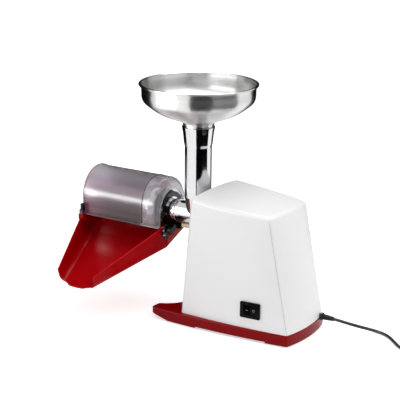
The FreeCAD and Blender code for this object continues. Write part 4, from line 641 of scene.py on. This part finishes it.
def make_plug():
    """A cube from -0.5 to 0.5 is cut at each section, and each cut takes its section's width and height."""
    low, high, middle = node_box("plug_body")
    sections = plug_sections()
    shape = bmesh.new()
    bmesh.ops.create_cube(shape, size=1.0)
    for share, _, _ in sections[1:-1]:
        bmesh.ops.bisect_plane(shape, geom=shape.verts[:] + shape.edges[:] + shape.faces[:],
                               plane_co=(share - 0.5, 0, 0), plane_no=AXIS_X)
    for vert in shape.verts:
        share, width, height = min(sections, key=lambda section: abs(section[0] - vert.co.x - 0.5))
        vert.co = mm(low.x + (high.x - low.x) * share, middle.y + vert.co.y * width,
                     middle.z + vert.co.z * height)
    long_edges = [edge for edge in shape.edges
                  if abs(edge.verts[0].co.x - edge.verts[1].co.x) > SHORTEST_LONG_EDGE * MM]
    round_edges(shape, long_edges, PLUG_SIDE_ROUND, segments=4)
    rim = [edge for edge in shape.edges
           if all(abs(vert.co.x - high.x * MM) < RIM_TOLERANCE * MM for vert in edge.verts)]
    round_edges(shape, rim, PLUG_RIM_ROUND, segments=2)
    return finish_piece("mains_plug", shape, "black_pvc", "machine", "rubber_black", "plug_body")


plug = make_plug()


# Ribbed bend relief where the lead leaves the housing


_, RELIEF_Y, RELIEF_Z = CORD_ROUTE[0]
RELIEF_IN_X, RELIEF_FLANGE_X, RELIEF_FLANGE_END_X, RELIEF_END_X = 232.4, 241.4, 244.0, 266.0
RELIEF_BORE, RELIEF_NECK, RELIEF_FLANGE, RELIEF_GROOVE = 3.02, 5.0, 7.2, 3.5     # radii
RELIEF_FIRST_RIB, RELIEF_LAST_RIB = 5.6, 4.3                                    # radii
RELIEF_RIBS = 8
# One rib: share of the pitch, and whether that corner is on top of the rib
RELIEF_RIB = [(0.4, False), (0.5, True), (0.9, True), (1.0, False)]
RELIEF_STEPS = 40


def make_bend_relief():
    profile = [(RELIEF_IN_X, RELIEF_BORE), (RELIEF_IN_X, RELIEF_NECK), (RELIEF_FLANGE_X, RELIEF_NECK),
               (RELIEF_FLANGE_X, RELIEF_FLANGE), (RELIEF_FLANGE_END_X, RELIEF_FLANGE),
               (RELIEF_FLANGE_END_X, RELIEF_GROOVE)]
    pitch = (RELIEF_END_X - RELIEF_FLANGE_END_X) / RELIEF_RIBS
    for rib in range(RELIEF_RIBS):
        top = RELIEF_FIRST_RIB + (RELIEF_LAST_RIB - RELIEF_FIRST_RIB) * rib / (RELIEF_RIBS - 1)
        profile += [(RELIEF_FLANGE_END_X + pitch * (rib + share), top if on_top else RELIEF_GROOVE)
                    for share, on_top in RELIEF_RIB]
    profile.append((RELIEF_END_X, RELIEF_BORE))
    shape = turn_profile([mm(x, RELIEF_Y, RELIEF_Z + radius) for x, radius in profile],
                         mm(0, RELIEF_Y, RELIEF_Z), AXIS_X, RELIEF_STEPS, closed=True)
    finish_piece("bend_relief", shape, "black_rubber", "machine", "rubber_black", "strain_relief")


make_bend_relief()


# Marks printed on the rocker: a bar for on and a ring for off


MARK_PROUD = 0.12
MARK_BAR_LENGTH, MARK_BAR_WIDTH = 4.6, 0.8
MARK_RING_OUTSIDE, MARK_RING_INSIDE = 2.3, 1.65     # radii
MARK_STEPS = 36
MARK_ON_X, MARK_OFF_X = 157.25, 169.38              # middle of each half of the rocker
MARK_RAY_START_Y = -100.0                           # in front of the housing


def rocker_face(x):
    """Place on the rocker's face at x, with Z turned outwards and X along the face."""
    middle = node_box("switch_rocker")[2]
    centre, out, _, _ = skin("switch_rocker").ray_cast(mm(x, MARK_RAY_START_Y, middle.z), AXIS_Y)
    across = Vector(AXIS_Z).cross(out).normalized()
    turn = Matrix((across, out.cross(across), out)).transposed().to_4x4()
    return Matrix.Translation(centre) @ turn


def make_rocker_marks():
    bar = bmesh.new()
    bmesh.ops.create_cube(bar, size=1.0)
    bmesh.ops.scale(bar, vec=mm(MARK_BAR_LENGTH, MARK_BAR_WIDTH, 2 * MARK_PROUD), verts=bar.verts)
    bar.transform(rocker_face(MARK_ON_X))
    finish_piece("switch_mark_on", bar, "mark_ink", "rocker", "housing_white")
    corners = [(MARK_RING_OUTSIDE, MARK_PROUD), (MARK_RING_OUTSIDE, -MARK_PROUD),
               (MARK_RING_INSIDE, -MARK_PROUD), (MARK_RING_INSIDE, MARK_PROUD)]
    ring = turn_profile([mm(radius, 0, height) for radius, height in corners], (0, 0, 0), AXIS_Z, MARK_STEPS,
                        closed=True)
    ring.transform(rocker_face(MARK_OFF_X))
    finish_piece("switch_mark_off", ring, "mark_ink", "rocker", "housing_white")


make_rocker_marks()


# Rounded rims on the chute's side walls, in a lighter red that is a painted highlight


CHUTE_RIM_RADIUS = 1.15
# From the bend down to the lip: reach from the chute's middle, Y and Z
CHUTE_RIM = [(92.3, -50.0, 165.2), (89.6, -57.5, 161.8), (41.1, -190.4, 100.4)]


def make_chute_rims():
    for side, name in ((-1, "left"), (1, "right")):
        points = [(CHUTE_MIDDLE_X + side * reach, y, z) for reach, y, z in CHUTE_RIM]
        wire_piece("chute_rim_" + name, points, CHUTE_RIM_RADIUS, "red_rim_painted_highlight", "chute", "gloss_red")


make_chute_rims()


# Parting lines at the housing's rear corners, drawn as grey beads whose grey is painted shade


HOUSING_CORNER_LOW = (233.9, 68.7, 24.0)
HOUSING_CORNER_TOP = (192.6, 68.1, 222.0)
PARTING_STEPS = 30
PARTING_RADIUS = 0.28
PARTING_RAY_START = 30.0            # how far outside the corner, along X and along Y, each ray starts


def make_parting_lines():
    """Rays from outside find the housing's skin up each rear corner."""
    surface = skin("housing_shell")
    for side, name in ((-1, "near"), (1, "far")):
        inwards = Vector((-1, -side, 0)).normalized()
        points = []
        for step in range(PARTING_STEPS + 1):
            share = step / PARTING_STEPS
            x, y, z = [low + (top - low) * share for low, top in zip(HOUSING_CORNER_LOW, HOUSING_CORNER_TOP)]
            outside = mm(x + PARTING_RAY_START, side * (y + PARTING_RAY_START), z)
            points.append(tuple(surface.ray_cast(outside, inwards)[0] / MM))
        wire_piece("parting_line_" + name, points, PARTING_RADIUS, "parting_painted_shade", "machine",
                   "housing_white")


make_parting_lines()


# Dark lines on the splash guard, at the seam between its halves and at the edge of its far end: their dark
# is painted shade of the sheet seen edge on


GUARD_AXIS_Z, GUARD_FOOT_Z = 202.4, 169.6
ARC_STEPS = 36
# Name, place along X, distance from the guard's middle, radius of the line
GUARD_LINES = [("guard_seam", GUARD_SEAM_X, 50.5, 0.6), ("guard_far_line", -230.8, 51.5, 0.45)]


def make_guard_lines():
    for name, x, reach, radius in GUARD_LINES:
        points = [(x, -reach, GUARD_FOOT_Z)]
        for step in range(ARC_STEPS + 1):
            angle = math.pi * (1 - step / ARC_STEPS)
            points.append((x, reach * math.cos(angle), GUARD_AXIS_Z + reach * math.sin(angle)))
        points.append((x, reach, GUARD_FOOT_Z))
        wire_piece(name, points, radius, "guard_edge_painted_shade", "guard", "smoked_cover")


make_guard_lines()

lead.data.materials.append(MATERIALS["black_pvc"])
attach(lead, "machine")
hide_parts("cord", "cord_coil", "cord_tail")


# Studio, in metres: pale floor, soft lamps, white surroundings


FLOOR_SIZE = 12.0                   # from the middle to each edge
FLOOR_DROP = 0.0003                 # keeps the floor clear of what stands on it
FLOOR_GLOW = 0.55                   # brings the floor up to white where a ray shows it
SKY_LIGHT, SKY_SEEN = 0.55, 1.0     # strength as a light, and where a ray shows it
CARD_STEPS = 32
CARD_FOOT_HEIGHT = 0.001
LAMP_AIM = Vector((0, 0, 0.2))
WHITE = (1, 1, 1, 1)
# Dark cards round the object, seen only in reflections: they give steel and gloss their dark parts.
# Name, start and spread in degrees from +X, reach, lower and upper edge, inner reach of its foot
CARDS = [
    ("camera_card", -75.0, 46.0, 0.85, 0.0, 0.75, 0.26),
    ("back_card", 70.0, 125.0, 1.7, 0.0, 2.4, 0.6),
    ("side_card", -29.0, 54.0, 1.3, 0.0, 0.4, 0.5),
]
# Name, place, size, power in watts, seen only in reflections (the others are never seen in them)
LAMPS = [
    ("key_softbox", (-0.9, -1.9, 1.5), (1.6, 1.6), 11.0, False),
    ("low_strip", (-1.15, -1.75, 0.25), (1.6, 0.5), 42.0, True),
    ("fill_softbox", (2.0, 0.2, 1.3), (1.0, 1.4), 4.0, False),
    ("top_softbox", (0.6, 0.1, 2.0), (1.8, 1.8), 23.0, False),
    ("front_sheet", (-0.7, -1.7, 1.25), (2.2, 1.0), 15.0, True),
    ("overhead_sheet", (0.1, 0.5, 2.3), (2.4, 1.6), 44.0, True),
]


def seen_rays(tree):
    """1 for a ray that shows the surface, straight or through gloss or glass, and 0 for other light."""
    rays = add(tree, "ShaderNodeLightPath")
    seen = rays.outputs["Is Camera Ray"]
    for name in ("Is Glossy Ray", "Is Transmission Ray"):
        seen = add(tree, "ShaderNodeMath", {0: seen, 1: rays.outputs[name]}, operation="MAXIMUM").outputs[0]
    return seen


def make_floor():
    shape = bmesh.new()
    bmesh.ops.create_grid(shape, x_segments=1, y_segments=1, size=FLOOR_SIZE)
    floor = put("floor", mesh_of("floor", shape))
    floor.location.z = -FLOOR_DROP
    material = bpy.data.materials.new("paper_floor")
    tree = empty_tree(material)
    paper = add(tree, "ShaderNodeBsdfDiffuse", {"Color": colour("F4F4F4")})
    strength = add(tree, "ShaderNodeMath", {0: seen_rays(tree), 1: FLOOR_GLOW}, operation="MULTIPLY")
    glow = add(tree, "ShaderNodeEmission", {"Color": WHITE, "Strength": strength.outputs[0]})
    both = add(tree, "ShaderNodeAddShader", {0: paper.outputs[0], 1: glow.outputs[0]})
    add(tree, "ShaderNodeOutputMaterial", {"Surface": both.outputs[0]})
    floor.data.materials.append(material)


def make_surroundings():
    world = bpy.data.worlds.new("white_surroundings")
    bpy.context.scene.world = world
    tree = empty_tree(world)
    strength = add(tree, "ShaderNodeMapRange",
                   {"Value": seen_rays(tree), "To Min": SKY_LIGHT, "To Max": SKY_SEEN})
    sky = add(tree, "ShaderNodeBackground", {"Color": WHITE, "Strength": strength.outputs[0]})
    add(tree, "ShaderNodeOutputWorld", {"Surface": sky.outputs[0]})


def make_cards():
    """Curved cards that stand round the object, each with a foot that lies on the floor in front of it."""
    cloth, _, _ = start_material("black_card", Roughness=1.0, Specular_IOR_Level=0.0,
                                 Base_Color=colour("080808"))
    for name, start_deg, spread_deg, reach, low, high, foot_reach in CARDS:
        start = math.radians(start_deg)
        rows = [(reach, high), (reach, low), (foot_reach, CARD_FOOT_HEIGHT)]
        points = [(distance * math.cos(start), distance * math.sin(start), height)
                  for distance, height in rows]
        shape = turn_profile(points, (0, 0, 0), AXIS_Z, CARD_STEPS, angle=math.radians(spread_deg))
        card = put(name, mesh_of(name, shape))
        card.data.materials.append(cloth)
        card.visible_camera = False
        card.visible_diffuse = False
        card.visible_shadow = False
        card.visible_transmission = False


def make_lamps():
    for name, place, size, watts, in_reflections_only in LAMPS:
        lamp = bpy.data.lights.new(name, "AREA")
        lamp.shape = "RECTANGLE"
        lamp.size, lamp.size_y = size
        lamp.energy = watts
        holder = put(name, lamp)
        holder.location = place
        holder.rotation_euler = (LAMP_AIM - holder.location).to_track_quat("-Z", "Y").to_euler()
        holder.visible_diffuse = not in_reflections_only
        holder.visible_glossy = in_reflections_only


make_floor()
make_surroundings()
make_cards()
make_lamps()

scene = bpy.context.scene
scene.view_settings.view_transform = "Standard"
